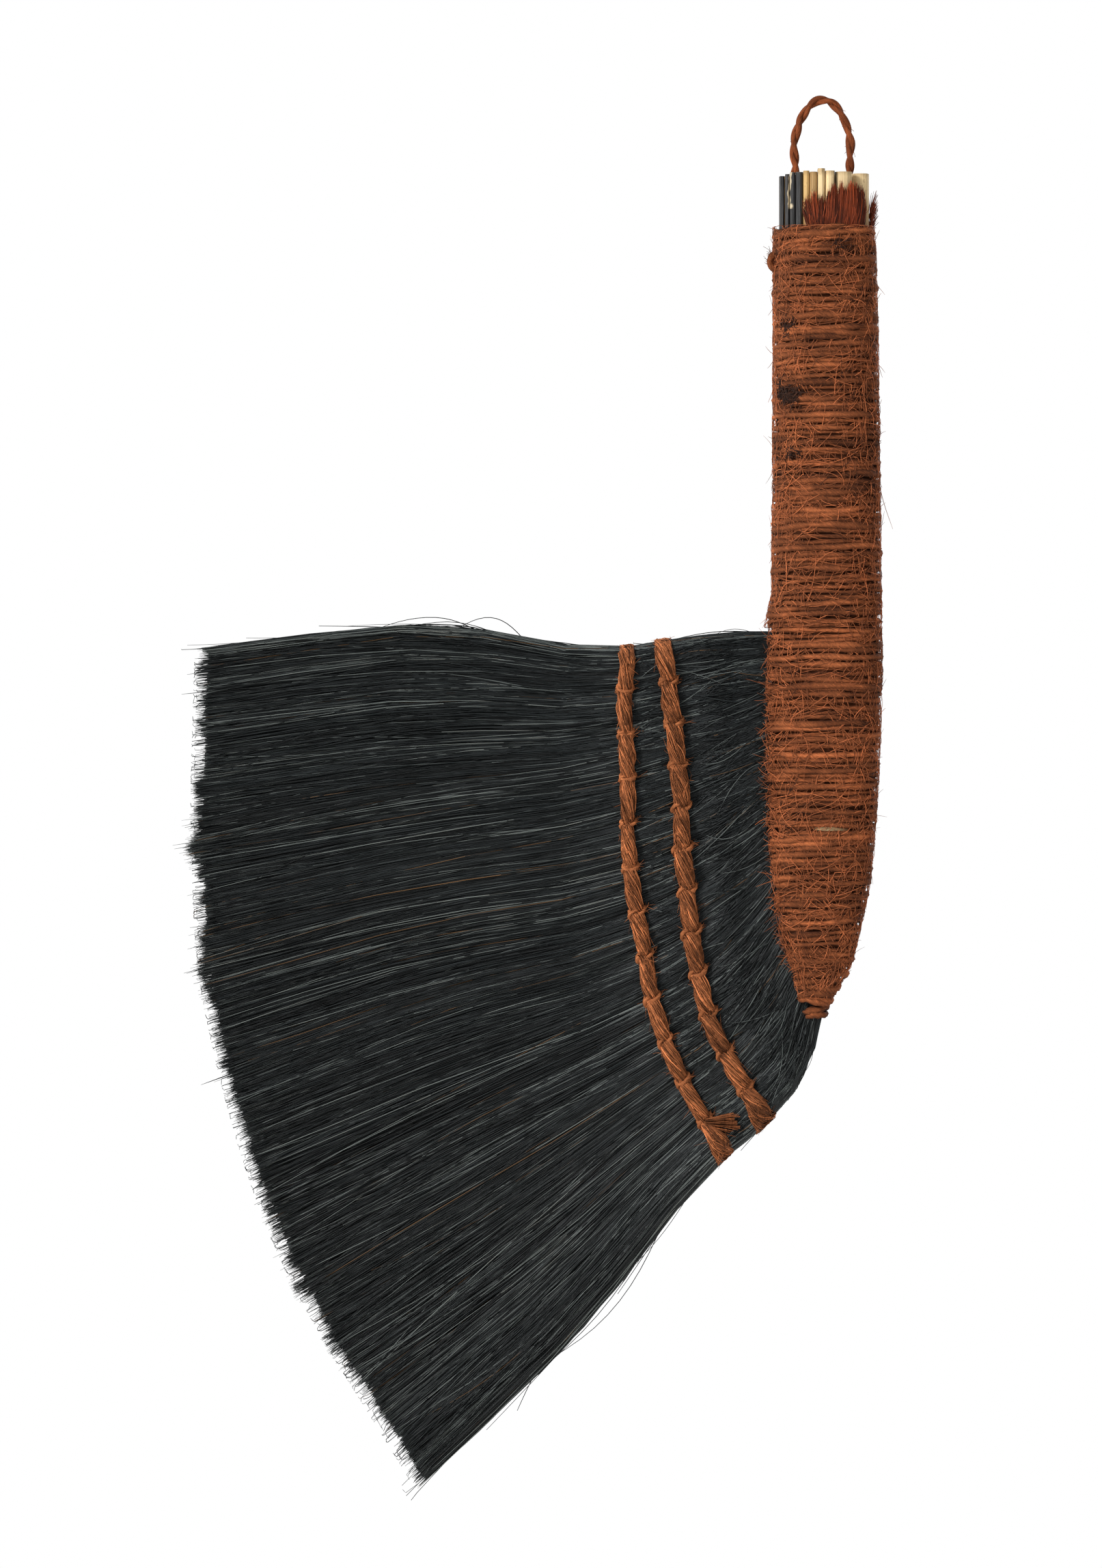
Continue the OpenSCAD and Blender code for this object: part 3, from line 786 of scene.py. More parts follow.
class WHISK_OT_hanging_loop(Operator):
    """Twists the two-ply hanging loop"""

    bl_idname = "whisk.hanging_loop"
    bl_label = "Hanging loop"

    def execute(self, context):
        sizes = context.scene.whisk_broom_sizes
        rng = np.random.default_rng(11)
        leg = [(LOOP[0][0], LOOP_PIVOT - LOOP_SEAT)]
        left = [(-p[0], p[1]) for p in leg + LOOP]
        right = [(-p[0], p[1]) for p in reversed(left)]
        line = np.array([*left, (0, LOOP_TOP), *right], float)
        dense = smooth_line(np.stack([line[:, 0], 0 * line[:, 0], line[:, 1]], axis=1), 0.35)
        way = unit(np.gradient(dense, axis=0))
        side = np.cross(way, (0, 1, 0))
        run = distances(dense)
        radius = sizes.loop_cord / MM / 2
        parts = []
        for ply in (0, 1):
            angle = run * 0.55 + ply * math.pi + 0.5 + 0.25 * wander(rng, len(run), 14)
            spread = radius * (0.44 + 0.06 * wander(rng, len(run), 10))
            offset = np.cos(angle)[:, None] * side + np.sin(angle)[:, None] * np.array([0, 1, 0])
            ways = (dense + spread[:, None] * offset)[None]
            thick = radius * (0.56 + 0.05 * wander(rng, len(run), 8))[None]
            mesh = strands(ways, thick, 10, twist=0.5)
            parts.append((*mesh, 0.45 + 0.1 * ply))
        hairs = []
        number = 18
        for start in rng.integers(3, len(run) - 8, number):
            hairs.append(dense[start] + loose_hair(rng, way[start], rng.uniform(0.8, 1.6), radius * 0.9))
        thick = np.full((number, 5), 0.06)
        parts.append(hair_mesh(np.array(hairs), thick, rng.uniform(0.3, 0.9, number), (0.2, 0.9, 0.3)))
        finish = twine_finish("loop_cord", hue("loop"), 2.2)
        piece = make_piece("hanging_loop_cord", *merged(parts), finish, "winding_twine")
        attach(piece, "loop")
        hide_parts("hanging_loop")
        return {"FINISHED"}


class WHISK_OT_stalks(Operator):
    """Gives the cut stalks their dyed and natural cane finishes"""

    bl_idname = "whisk.stalks"
    bl_label = "Stalks"

    def execute(self, context):
        dyed = dyed_finish()
        cream = cane_finish("cream_cane", hue("cane"), 0.5, 0.35)
        warm = cane_finish("warm_cane", hue("warm_cane"), 0.8, 0.35)
        tan = cane_finish("tan_cane", hue("tan_cane"), 0.9, 0.3)
        chosen = {"natural_stalk_1": warm, "natural_stalk_2": tan, "back_stalks": tan, "core_stalks": warm}
        chosen["loop_tails"] = twine_finish("loop_tail_cord", hue("loop"))
        for name in frame["nodes"]:
            if name.startswith("dyed_stalk"):
                finish = dyed
            elif name.startswith("natural_stalk") or name in chosen:
                finish = chosen.get(name, cream)
            else:
                continue
            node = bpy.data.objects[name]
            for place in node.material_slots:
                place.material = finish
            if not node.material_slots:
                node.data.materials.append(finish)
        return {"FINISHED"}


def twine_line(rng, z_from, z_to, pitch, phase, samples=108):
    """Angle and height of the twine as it goes round the handle from z_from down to z_to."""
    turns = (z_from - z_to) / pitch
    count = int(turns * samples)
    turn = np.linspace(0, turns, count)
    angle = phase - TURN * turn
    z = z_from - pitch * turn
    z = z + pitch * (0.18 * wander(rng, count, samples * 0.4) + 0.14 * wander(rng, count, 9))
    return angle, z


def wound_twine(rng, angle, z, radius, dive=0.0, samples=108, grow=1.0):
    """A twine wound on the handle, with thick and thin places; at the fan it dives between the bundles."""
    count = len(z)
    out = -0.62 * radius + 0.18 * wander(rng, count, 12) + 0.18 * wander(rng, count, 50)
    if dive > 0:
        away = np.abs((angle + math.pi) % TURN - math.pi)
        from_left = math.pi - away
        share = np.clip(1 - from_left / dive, 0, 1)
        out = out - 5.5 * share**1.5
    ways = on_handle(z, angle, out)[None]
    middle, _, _ = handle_section(z)
    up = np.stack([ways[0, :, 0] - middle, ways[0, :, 1] * 1.4, 0 * z], axis=1)[None]
    thick = radius * (0.95 + 0.15 * wander(rng, count, 6) + 0.15 * wander(rng, count, 40))
    thick = np.clip(thick, 0.6 * radius, 1.4 * radius) * grow
    lobes = 1 + 0.15 * np.array([[wander(rng, count, 3) for _ in range(8)]]).transpose(0, 2, 1)
    radii = thick[None, :, None] * lobes
    mesh = strands(ways, radii, 8, up=up, flat=0.9, twist=0.9)
    tone = 0.64 + 0.19 * wander(rng, count, 12) + 0.11 * wander(rng, count, samples * 1.3)
    # painted shade: the sides that face the next turn are darkened, for the shadow between neighbouring
    # turns
    shaded = 0.62 * np.cos(TURN * np.arange(8) / 8) ** 2
    return (*mesh, (tone[:, None] - shaded).ravel())


def handle_fuzz(rng, number, z_from, z_to, keep_left=math.pi, reach=5.5):
    """Loose hairs that lie over the winding, some with free ends that stand off it."""
    steps = 6
    t = np.linspace(0, 1, steps)
    z = rng.uniform(z_to, z_from, number)
    angle = rng.uniform(-keep_left, keep_left, number)
    length = reach * rng.gamma(3.0, 0.33, number)
    along_twine = rng.random(number) < 0.38
    heading = np.where(along_twine, rng.normal(0, 0.35, number), rng.normal(math.pi / 2, 0.45, number))
    heading += math.pi * rng.integers(0, 2, number)
    curl = rng.normal(0, 0.7, number)
    bearing = heading[:, None] + curl[:, None] * t
    step = length[:, None] / (steps - 1)
    across = np.cumsum(np.cos(bearing) * step, axis=1) / GRIP_HALF
    down = np.cumsum(np.sin(bearing) * step, axis=1)
    free = rng.random(number) < 0.07
    arch = rng.uniform(0.1, 0.55, number)[:, None] * np.sin(math.pi * t)
    stand = (rng.gamma(2.0, 0.45, number)[:, None]) * t**1.6
    out = 0.08 + np.where(free[:, None], stand, arch)
    z = np.clip(z[:, None] + down, z_to - 0.5, z_from)
    turned = np.clip(angle[:, None] + across, -keep_left, keep_left)
    ways = on_handle(z, turned, out)
    thick = tapered(rng, number, 0.05, 0.10, 0.6 * t**3)
    return hair_mesh(ways, thick, np.clip(rng.normal(0.62, 0.27, number), 0, 1.15), HANDLE_UP)


def dark_clump(rng, angle, z, wide, tall, number):
    """A dark matted spot on the winding: short hairs at (angle, z), spread over a width and height."""
    t = np.linspace(0, 1, 5)
    across = rng.normal(0, wide / 2, number)[:, None] + rng.normal(0, 1.3, number)[:, None] * t
    turned = angle + across / GRIP_HALF
    height = z + rng.normal(0, tall / 2, number)[:, None] + rng.normal(0, 1.1, number)[:, None] * t
    out = 0.1 + rng.uniform(0.1, 0.7, number)[:, None] * np.sin(math.pi * (0.1 + 0.8 * t))
    ways = on_handle(height, turned, out)
    thick = tapered(rng, number, 0.10, 0.18, 0.5 * t**2)
    return hair_mesh(ways, thick, rng.uniform(-0.2, 0.12, number), HANDLE_UP)


def sleeve(z_from, z_to, inset, left_open=0.0, steps=64, rings=90):
    """A closed sleeve under the turns."""
    z = np.linspace(z_from, z_to, rings)[:, None]
    angle = np.linspace(0, TURN, steps, endpoint=False)[None, :]
    out = -inset + 0 * angle
    if left_open > 0:
        out = out - 5.0 * np.clip(1 - np.abs(angle - math.pi) / left_open, 0, 1)
    points = on_handle(z + 0 * angle, angle + 0 * z, out + 0 * z).reshape(-1, 3)
    return points, ring_faces(1, rings, steps), points * 0.3, 0.5


class WHISK_OT_grip_winding(Operator):
    """Winds the twine round the grip, with its loose hairs"""

    bl_idname = "whisk.grip_winding"
    bl_label = "Grip winding"

    def execute(self, context):
        sizes = context.scene.whisk_broom_sizes
        rng = np.random.default_rng(21)
        finish = twine_finish("winding_twine", hue("winding"), 2.6, 0.22, spot=0.3)
        pitch = sizes.turn_pitch / MM
        radius = sizes.twine_radius / MM
        angle, z = twine_line(rng, WIND_TOP - 1.0, FAN_TOP + 0.6, pitch, -1.2)
        turn = (angle[0] - angle) / TURN
        z = z + 1.3 * np.cos(angle) * np.exp(-turn / 2.5)
        twine = wound_twine(rng, angle, z, radius, grow=1 + 0.3 * np.exp(-turn / 3))
        piece = make_piece("grip_twine", *twine, finish, "winding_twine")
        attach(piece, "broom")
        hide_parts("grip_winding")
        inside = sleeve(WIND_TOP - 1.8, FAN_TOP - 0.5, 0.8)
        lining = make_piece("grip_twine_lining", *inside, sleeve_finish(), "winding_twine")
        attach(lining, "broom")
        hairs = [handle_fuzz(rng, sizes.fuzz, WIND_TOP - 0.5, FAN_TOP)]
        for angle, z, wide, tall, number in (
            (-2.35, -28.0, 3.4, 2.6, 70),
            (-2.3, -46.6, 3.8, 2.2, 300),
            (-2.5, -44.5, 2.2, 1.8, 100),
            (-2.2, -62.5, 2.5, 1.2, 40),
            (-1.4, -5.4, 3.0, 1.4, 34),
        ):
            hairs.append(dark_clump(rng, angle, WIND_TOP + z, wide, tall, number))
        hair = hair_finish("twine_hair", hue("winding"))
        fuzz = make_piece("grip_twine_hairs", *merged(hairs), hair, "winding_twine")
        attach(fuzz, "broom")
        return {"FINISHED"}


class WHISK_OT_heel_winding(Operator):
    """Winds the twine round the heel and between the bundles, down to its last separate turns"""

    bl_idname = "whisk.heel_winding"
    bl_label = "Heel winding"

    def execute(self, context):
        sizes = context.scene.whisk_broom_sizes
        rng = np.random.default_rng(22)
        finish = bpy.data.materials["winding_twine"]
        pitch = sizes.turn_pitch / MM
        radius = sizes.twine_radius / MM
        angle, z = twine_line(rng, FAN_TOP + 0.4, HEEL_END + 9.5, pitch * 1.02, -1.2)
        in_front = hill(12 * np.cos(angle), 2, 5) * (np.sin(angle) < 0)
        z = z + 0.55 * in_front * hill(z, THIN_PLACE, 1.6) * np.sign(z - THIN_PLACE)
        upper = wound_twine(rng, angle, z, radius, dive=0.62)
        angle, z = twine_line(rng, HEEL_END + 10.5, HEEL_END + 0.2, 1.9, 0.4)
        lower = wound_twine(rng, angle, z, radius * 1.2, dive=0.55)
        angle, z = twine_line(rng, HEEL_END + 0.8, HEEL_END - 1.0, 1.0, 0.4)
        slanted = wound_twine(rng, angle, z - 0.8 - 1.1 * np.cos(angle), radius * 1.15, dive=0.55)
        piece = make_piece("heel_twine", *merged([upper, lower, slanted]), finish, "winding_twine")
        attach(piece, "broom")
        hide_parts("heel_winding", "heel_ties")
        angle, z = twine_line(rng, HEEL_END - 2.9, HEEL_END - 6.2, 1.55, 2.2)
        last = wound_twine(rng, angle, z, radius * 1.05)
        turns = make_piece("last_turns", *last, finish, "winding_twine")
        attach(turns, "broom")
        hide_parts("last_turn")
        inside = sleeve(FAN_TOP + 0.5, HEEL_END + 1.0, 0.8, left_open=0.75)
        depths = bpy.data.materials["winding_depths"]
        lining = make_piece("heel_twine_lining", *inside, depths, "winding_twine")
        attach(lining, "broom")
        hairs = [handle_fuzz(rng, int(0.8 * sizes.fuzz), FAN_TOP + 1, HEEL_END, keep_left=2.72)]
        hairs.append(self.mouth_wisps(rng, 520))
        hair = bpy.data.materials["twine_hair"]
        fuzz = make_piece("heel_twine_hairs", *merged(hairs), hair, "winding_twine")
        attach(fuzz, "broom")
        return {"FINISHED"}

    @staticmethod
    def mouth_wisps(rng, number):
        """Wisps of the turns that stand out over the bristles where the fan leaves the handle."""
        t = np.linspace(0, 1, 5)
        z = rng.uniform(HEEL_END + 7, FAN_TOP - 2, number)
        face = np.where(rng.random(number) < 0.6, -1.0, 1.0)
        root = on_handle(z, face * rng.uniform(2.3, 2.62, number), -0.1)
        length = rng.gamma(2.2, 0.95, number)
        ways = np.repeat(root[:, None, :], 5, axis=1)
        ways[..., 0] -= length[:, None] * t * 0.9
        arch = rng.uniform(0.1, 0.7, number)[:, None] * np.sin(math.pi * 0.8 * t)
        ways[..., 1] += face[:, None] * (0.15 + arch)
        slope = rng.normal(0, 0.45, number)[:, None] * t + rng.normal(0, 0.4, (number, 1)) * t**2
        ways[..., 2] += length[:, None] * slope
        thick = tapered(rng, number, 0.06, 0.12, 0.6 * t**2)
        tone = np.clip(rng.normal(0.55, 0.22, number), 0, 1)
        return hair_mesh(ways, thick, tone, WISP_UP)


class WHISK_OT_twine_ends(Operator):
    """Frays the twine's first end over the stalks and makes the small knot at the grip's side"""

    bl_idname = "whisk.twine_ends"
    bl_label = "Twine ends"

    def execute(self, context):
        rng = np.random.default_rng(23)
        t = np.linspace(0, 1, 6)
        parts = []
        for foot, tip, height, number in (
            (-3.1, -5.3, 7.4, 110),
            (-2.4, -3.2, 8.9, 130),
            (-1.2, -1.0, 7.6, 130),
            (0.4, 1.0, 9.2, 150),
            (1.8, 2.4, 11.2, 190),
            (3.4, 4.4, 11.4, 200),
            (4.9, 5.8, 10.0, 180),
            (6.6, 7.2, 11.7, 210),
            (8.0, 8.8, 11.3, 190),
            (9.4, 10.2, 10.3, 150),
        ):
            parts.append(self.clump(rng, t, foot, tip, height, number))
        number = 1000
        across = rng.uniform(-3.6, 10.0, number)
        root = WIND_TOP - rng.uniform(0.5, 2.2, number)
        most = np.interp(across, [-3.6, -1, 1, 3, 10], [5.5, 6.0, 7.6, 9.8, 9.4])
        tall = most * (0.3 + 0.7 * rng.random(number) ** 0.8) + 0.6
        z = root[:, None] + tall[:, None] * t
        out = -0.9 + rng.uniform(0.3, 1.1, number)[:, None] * np.sin(math.pi * (0.2 + 0.6 * t))
        lean = rng.normal(0, 1.0, number)[:, None] * t**1.3
        ways = on_handle(z, front_angle(across[:, None] + lean), out)
        thick = tapered(rng, number, 0.09, 0.16, 0.7 * t**2)
        parts.append(hair_mesh(ways, thick, rng.uniform(0.0, 0.5, number), FRAY_UP))
        number = 130
        root = WIND_TOP - rng.uniform(-4, 2.0, number)
        z = root[:, None] + rng.uniform(2, 6.0, number)[:, None] * t
        out = -0.7 + rng.uniform(0.4, 2.2, number)[:, None] * t**1.3
        turned = rng.normal(0.04, 0.12, number)[:, None] + rng.normal(0, 0.08, number)[:, None] * t
        ways = on_handle(z, turned, out)
        thick = tapered(rng, number, 0.08, 0.14, 0.6 * t**2)
        parts.append(hair_mesh(ways, thick, rng.uniform(0.15, 0.6, number), FRAY_UP))
        finish = hair_finish("frayed_fibre", hue("frayed"))
        piece = make_piece("frayed_end", *merged(parts), finish, "winding_twine")
        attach(piece, "broom")
        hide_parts("frayed_twine_end")

        heights = np.array([2.2, 1.2, 0.0, -1.2, -2.4, -3.2]) + WIND_TOP - 9.3
        stand = np.array([-0.8, 0.5, 1.25, 1.35, 0.5, -0.8])
        line = on_handle(heights, np.full(6, math.pi + 0.12), stand)
        line = smooth_line(line, 0.3)
        thick = 0.95 + 0.08 * wander(rng, len(line), 4)
        knot = (*strands(line[None], thick[None], 10, twist=0.5), 0.5)
        number = 60
        starts = line[rng.integers(2, len(line) - 2, number)]
        upright = np.array((0, 0, 1.0))
        hairs = np.array([p + loose_hair(rng, upright, rng.uniform(1, 2.6), 0.9) for p in starts])
        wisps = hair_mesh(hairs, np.full((number, 5), 0.055), rng.uniform(0.2, 0.9, number), WISP_UP)
        finish = bpy.data.materials["winding_twine"]
        piece = make_piece("side_knot", *merged([knot, wisps]), finish, "winding_twine")
        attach(piece, "broom")
        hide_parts("winding_knot")
        return {"FINISHED"}

    @staticmethod
    def clump(rng, t, foot, tip, height, number):
        """One pointed clump of the frayed end, leaning from foot to tip across the front."""
        lane = np.clip(rng.normal(0, 0.5, number), -1, 1)
        reach = height * (1 - 0.42 * np.abs(lane) ** 1.3 - 0.28 * rng.random(number) ** 2)
        root = WIND_TOP - rng.uniform(0.3, 2.0, number)
        z = root[:, None] + (reach + 0.8)[:, None] * t
        wide = 1.5 - 0.5 * t**1.5
        across = foot + (tip - foot) * t + lane[:, None] * wide + rng.normal(0, 0.35, (number, 1)) * t**2
        layer = rng.random(number)[:, None] ** 1.2
        bulge = (0.2 + 1.1 * layer) * np.sin(math.pi * (0.22 + 0.62 * t))
        out = -0.85 + bulge + 0.35 * rng.random((number, 1)) * t
        ways = on_handle(z, front_angle(across), out)
        thick = tapered(rng, number, 0.09, 0.17, 0.7 * t**2)
        tone = np.clip(rng.normal(0.28, 0.17, number) + 0.08 * rng.normal(), 0, 1)[:, None] * (0.7 + 0.7 * t)
        return hair_mesh(ways, thick, tone, FRAY_UP)


# ---------------------------------------------------------------- stitched rows
class RowLine:
    """The closed line of a stitched row's cord on the fan, down its front and up its back."""

    def __init__(self, row, radius, pinch, rng):
        s = ROWS[row]
        count = 420
        share = (1 - np.cos(np.linspace(0, math.pi, count))) / 2
        share = 0.6 * share + 0.4 * np.linspace(0, 1, count)
        u = np.concatenate([share, share[::-1][1:-1]])
        face = np.concatenate([-np.ones(count), np.ones(count - 2)])
        skin = in_fan(u, s, face * fan_half(u, s))
        bristle = unit(fan_point(u, s + 0.02) - fan_point(u, s - 0.02))
        self.bristle = np.stack([bristle[:, 0], 0 * u, bristle[:, 1]], axis=1)
        self.u = u
        self.face = face
        self.out = np.cross(self.bristle, unit(np.roll(skin, -1, axis=0) - np.roll(skin, 1, axis=0)))
        knot = np.abs(np.sin(math.pi * BUNDLES * u)) ** 0.7
        edge = np.clip(1 - np.minimum(u, 1 - u) * FAN_WIDTH[s] / 5.0, 0, 1)
        knot = np.maximum(knot, np.clip(1 - np.minimum(u, 1 - u) * BUNDLES * 1.4, 0, 1))
        self.radius = radius * (pinch + (1 - pinch) * knot) * (1 + 0.05 * wander(rng, len(u), 18))
        foot = np.clip(1 - (1 - u) * FAN_WIDTH[s] / 9.0, 0, 1)
        self.radius = self.radius * (1 + 0.04 * edge + 0.75 * foot)
        self.flat = 0.92 - 0.42 * edge - 0.2 * foot
        self.square = 1 - 0.45 * edge
        sway = 0.28 * wander(rng, len(u), 26) * (1 - edge)
        stand = self.radius * self.flat * (0.86 - 1.45 * edge)
        self.middle = skin + self.out * stand[:, None] + self.bristle * sway[:, None]
        steps = np.linalg.norm(np.diff(self.middle, axis=0, append=self.middle[:1]), axis=1)
        self.run = np.concatenate([[0], np.cumsum(steps)[:-1]])
        self.length = steps.sum()

    def at(self, run, values):
        """Values of the line at distances along it."""
        run = np.mod(run, self.length)
        whole = np.append(self.run, self.length)
        if values.ndim == 1:
            return np.interp(run, whole, np.append(values, values[0]))
        closed = np.vstack([values, values[:1]])
        return np.stack([np.interp(run, whole, closed[:, k]) for k in range(3)], axis=-1)

    def on_surface(self, run, angle, lift=0.0):
        """Points on the cord's surface, angle 0 towards the tips and a quarter turn straight out."""
        radius = self.at(run, self.radius) + lift
        flat = self.at(run, self.flat)
        side = self.at(run, self.bristle)
        out = self.at(run, self.out)
        square = self.at(run, self.square)
        c = np.sign(np.cos(angle)) * np.abs(np.cos(angle)) ** square
        d = np.sign(np.sin(angle)) * np.abs(np.sin(angle)) ** square
        spread = (radius * c)[..., None] * side + (radius * flat * d)[..., None] * out
        return self.at(run, self.middle) + spread

    def knots(self):
        """Distances along the line of the stitches, on the front and on the back."""
        found = []
        for side in (-1, 1):
            near = np.where(self.face == side)[0]
            for k in range(1, BUNDLES):
                place = near[np.argmin(np.abs(self.u[near] - k / BUNDLES))]
                found.append(self.run[place])
        return found


def cord_core(line):
    """The inside of a row's cord, darkened with painted shade."""
    count = int(line.length / 0.7)
    run = np.linspace(0, line.length, count + 1)
    ways = line.at(run, line.middle)[None]
    out = line.at(run, line.out)[None]
    radii = (line.at(run, line.radius) * 0.86)[None]
    flat = line.at(run, line.flat)[None, :, None, None]
    mesh = strands(ways, radii, 12, up=out, flat=flat * 0.95, twist=0.17)
    # tone 0 gives the core the darkest twine colour: painted shade between the cord's fibres
    return (*mesh, 0.0)


def cord_fibres(rng, line, number):
    """Fibres that run along a cord's surface with its slow twist."""
    t = np.linspace(0, 1, 10)
    start = rng.uniform(0, line.length, number)
    length = rng.uniform(8, 17, number)
    run = start[:, None] + length[:, None] * t
    wave = rng.uniform(0, TURN, number)
    angle = rng.uniform(0, TURN, number)[:, None] + 0.16 * run + rng.normal(0, 0.35, number)[:, None] * t
    angle = angle + 0.14 * np.sin(wave[:, None] + t * rng.uniform(3, 9, number)[:, None])
    lift = rng.uniform(-0.28, 0.06, number)[:, None]
    lift = lift + (rng.random(number) < 0.12)[:, None] * 0.4 * np.sin(math.pi * t)
    ways = line.on_surface(run, angle, lift)
    thick = tapered(rng, number, 0.10, 0.21, 0.5 * np.abs(2 * t - 1) ** 3)
    tones = np.clip(rng.normal(0.46, 0.3, number) + 0.14 * np.sin(start * 0.23), -0.2, 1.2)
    return hair_mesh(ways, thick, tones, CORD_UP)


def cord_fuzz(rng, line, number):
    """Short hairs that stand off a cord."""
    t = np.linspace(0, 1, 5)
    start = rng.uniform(0, line.length, number)
    run = start[:, None] + rng.normal(0, 3.2, number)[:, None] * t
    angle = rng.uniform(-0.4, math.pi + 0.4, number)[:, None] + rng.normal(0, 0.5, number)[:, None] * t
    lift = -0.1 + rng.gamma(2.0, 0.5, number)[:, None] * t**1.3
    ways = line.on_surface(run, angle, lift)
    thick = tapered(rng, number, 0.05, 0.08, 0.6 * t**2)
    return hair_mesh(ways, thick, np.clip(rng.normal(0.55, 0.25, number), 0, 1), (0.3, 0.3, 0.9))


def stitches(rng, line, radius):
    """The thread that draws the cord in at each stitch, with its frayed wisps on the handle's side."""
    parts = []
    for run in line.knots():
        turns = rng.uniform(2.2, 3.2)
        beta = np.linspace(-1.0, TURN * turns - 0.6, int(22 * turns))
        tilt = rng.normal(0.25, 0.2)
        shift = (beta / TURN - turns / 2) * radius * 1.9 + 0.9 * tilt * np.cos(beta)
        grow = radius * (0.75 + 0.1 * rng.normal()) + 0.08 * wander(rng, len(beta), 6)
        ways = line.on_surface(run + shift, beta, grow)[None]
        thick = radius * (1 + 0.10 * wander(rng, len(beta), 5))[None]
        lobes = 1 + 0.14 * rng.normal(size=(1, len(beta), 7))
        mesh = strands(ways, thick[:, :, None] * lobes, 7, up=(0.31, 0.2, 0.93), twist=0.6)
        parts.append((*mesh, 0.45 + 0.2 * rng.random()))
        number = 16
        t = np.linspace(0, 1, 5)
        spread = run + rng.normal(0, 0.9, number)[:, None] + rng.normal(0, 1.2, number)[:, None] * t
        reach = rng.gamma(2.5, 0.62, number)[:, None] * t
        angle = rng.uniform(1.2, 3.0, number)[:, None] + rng.normal(0, 0.5, number)[:, None] * t
        ways = line.on_surface(spread, angle, 0.1 + 0.35 * np.sin(2.4 * t))
        ways = ways - line.at(spread, line.bristle) * reach[..., None]
        fine = tapered(rng, number, 0.06, 0.11, 0.6 * t**2)
        parts.append(hair_mesh(ways, fine, rng.uniform(0.1, 0.7, number), CORD_UP))
    return parts


class WHISK_OT_row_cords(Operator):
    """Lays the two cords along the fan and ties them down with stitches"""

    bl_idname = "whisk.row_cords"
    bl_label = "Row cords"

    def execute(self, context):
        sizes = context.scene.whisk_broom_sizes
        finish = twine_finish("row_cord_fibre", hue("row_cord"), 2.4, 0.3)
        thread = sizes.thread_radius / MM
        for row, radius, pinch, seed in (
            ("inner", sizes.inner_cord_radius / MM, 0.66, 31),
            ("outer", sizes.outer_cord_radius / MM, 0.58, 32),
        ):
            rng = np.random.default_rng(seed)
            line = RowLine(row, radius, pinch, rng)
            parts = [cord_core(line), cord_fibres(rng, line, 2900), cord_fuzz(rng, line, 620)]
            cord = make_piece(f"{row}_row_cord_fibres", *merged(parts), finish, "row_cord")
            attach(cord, "broom")
            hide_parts(f"{row}_row_cord")
            ties = make_piece(f"{row}_row_thread", *merged(stitches(rng, line, thread)), finish, "row_cord")
            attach(ties, "broom")
            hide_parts(f"{row}_row_stitches")
            if row == "outer":
                tail = self.frayed_tail(rng, line)
                knot = make_piece("outer_row_tail", *tail, finish, "row_cord")
                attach(knot, "broom")
                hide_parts("outer_row_knot")
        return {"FINISHED"}

    @staticmethod
    def frayed_tail(rng, line):
        """The cord's cut end, spread towards the handle from the lowest stitch."""
        front = np.where(line.face < 0)[0]
        base = front[np.argmin(np.abs(line.u[front] - 0.93))]
        root = line.middle[base] + line.out[base] * 1.3
        tip = root + np.array([8.6, -0.4, -0.6])
        number = 420
        t = np.linspace(0, 1, 7)
        way = tip - root
        aside = unit(np.cross(way, (0, 1, 0)))
        lane = rng.normal(0, 0.42, number)
        depth = rng.normal(0, 0.5, number)
        bunch = np.round(lane * 2.2) / 2.2
        reach = (rng.uniform(0.7, 1.02, number) + 0.12 * np.sin(bunch * 9))[:, None] * t
        spread = (lane + (bunch - lane) * 0.6)[:, None] * (1.0 + 1.9 * t**1.3)
        spread = spread + rng.normal(0, 0.22, number)[:, None] * t**2
        spread = spread + 0.5 * np.sin(2.2 * t + bunch[:, None]) * t
        ways = root + way * reach[..., None] + aside * spread[..., None]
        ways = ways + np.array([0, 1, 0]) * (depth[:, None] * (1 - 0.1 * t))[..., None]
        thick = tapered(rng, number, 0.10, 0.19, 0.4 * t**2)
        return hair_mesh(ways, thick, np.clip(rng.normal(0.35, 0.2, number), 0, 1), (0.2, 0.95, 0.1))


# ---------------------------------------------------------------- bristles
def flex_between():
    """Two points across the flexing line, where bristles start to bend and where they move freely."""
    point = Vector(FLEX["pos_m"])
    way = Vector(FLEX["axis"]).normalized()
    out = Vector((way.z, 0, -way.x))
    return point - out * BEND_FROM * MM, point + out * BEND_TO * MM


def bristle_steps(steps):
    """Shares of a bristle's length, the last two close together so that only its end tapers."""
    return np.insert(np.linspace(0, 1, steps - 1), -1, 0.988)


class Locks:
    """Narrow locks that neighbouring bristles gather into."""

    def __init__(self, rng, number):
        self.number = number
        self.shift = rng.normal(0, 0.3, number)
        self.drift = rng.normal(0, 0.0045, number)
        self.lift = rng.normal(0, 0.36, number)
        self.tone = rng.normal(0, 1, number)
        self.trim = rng.normal(0, 1, number)


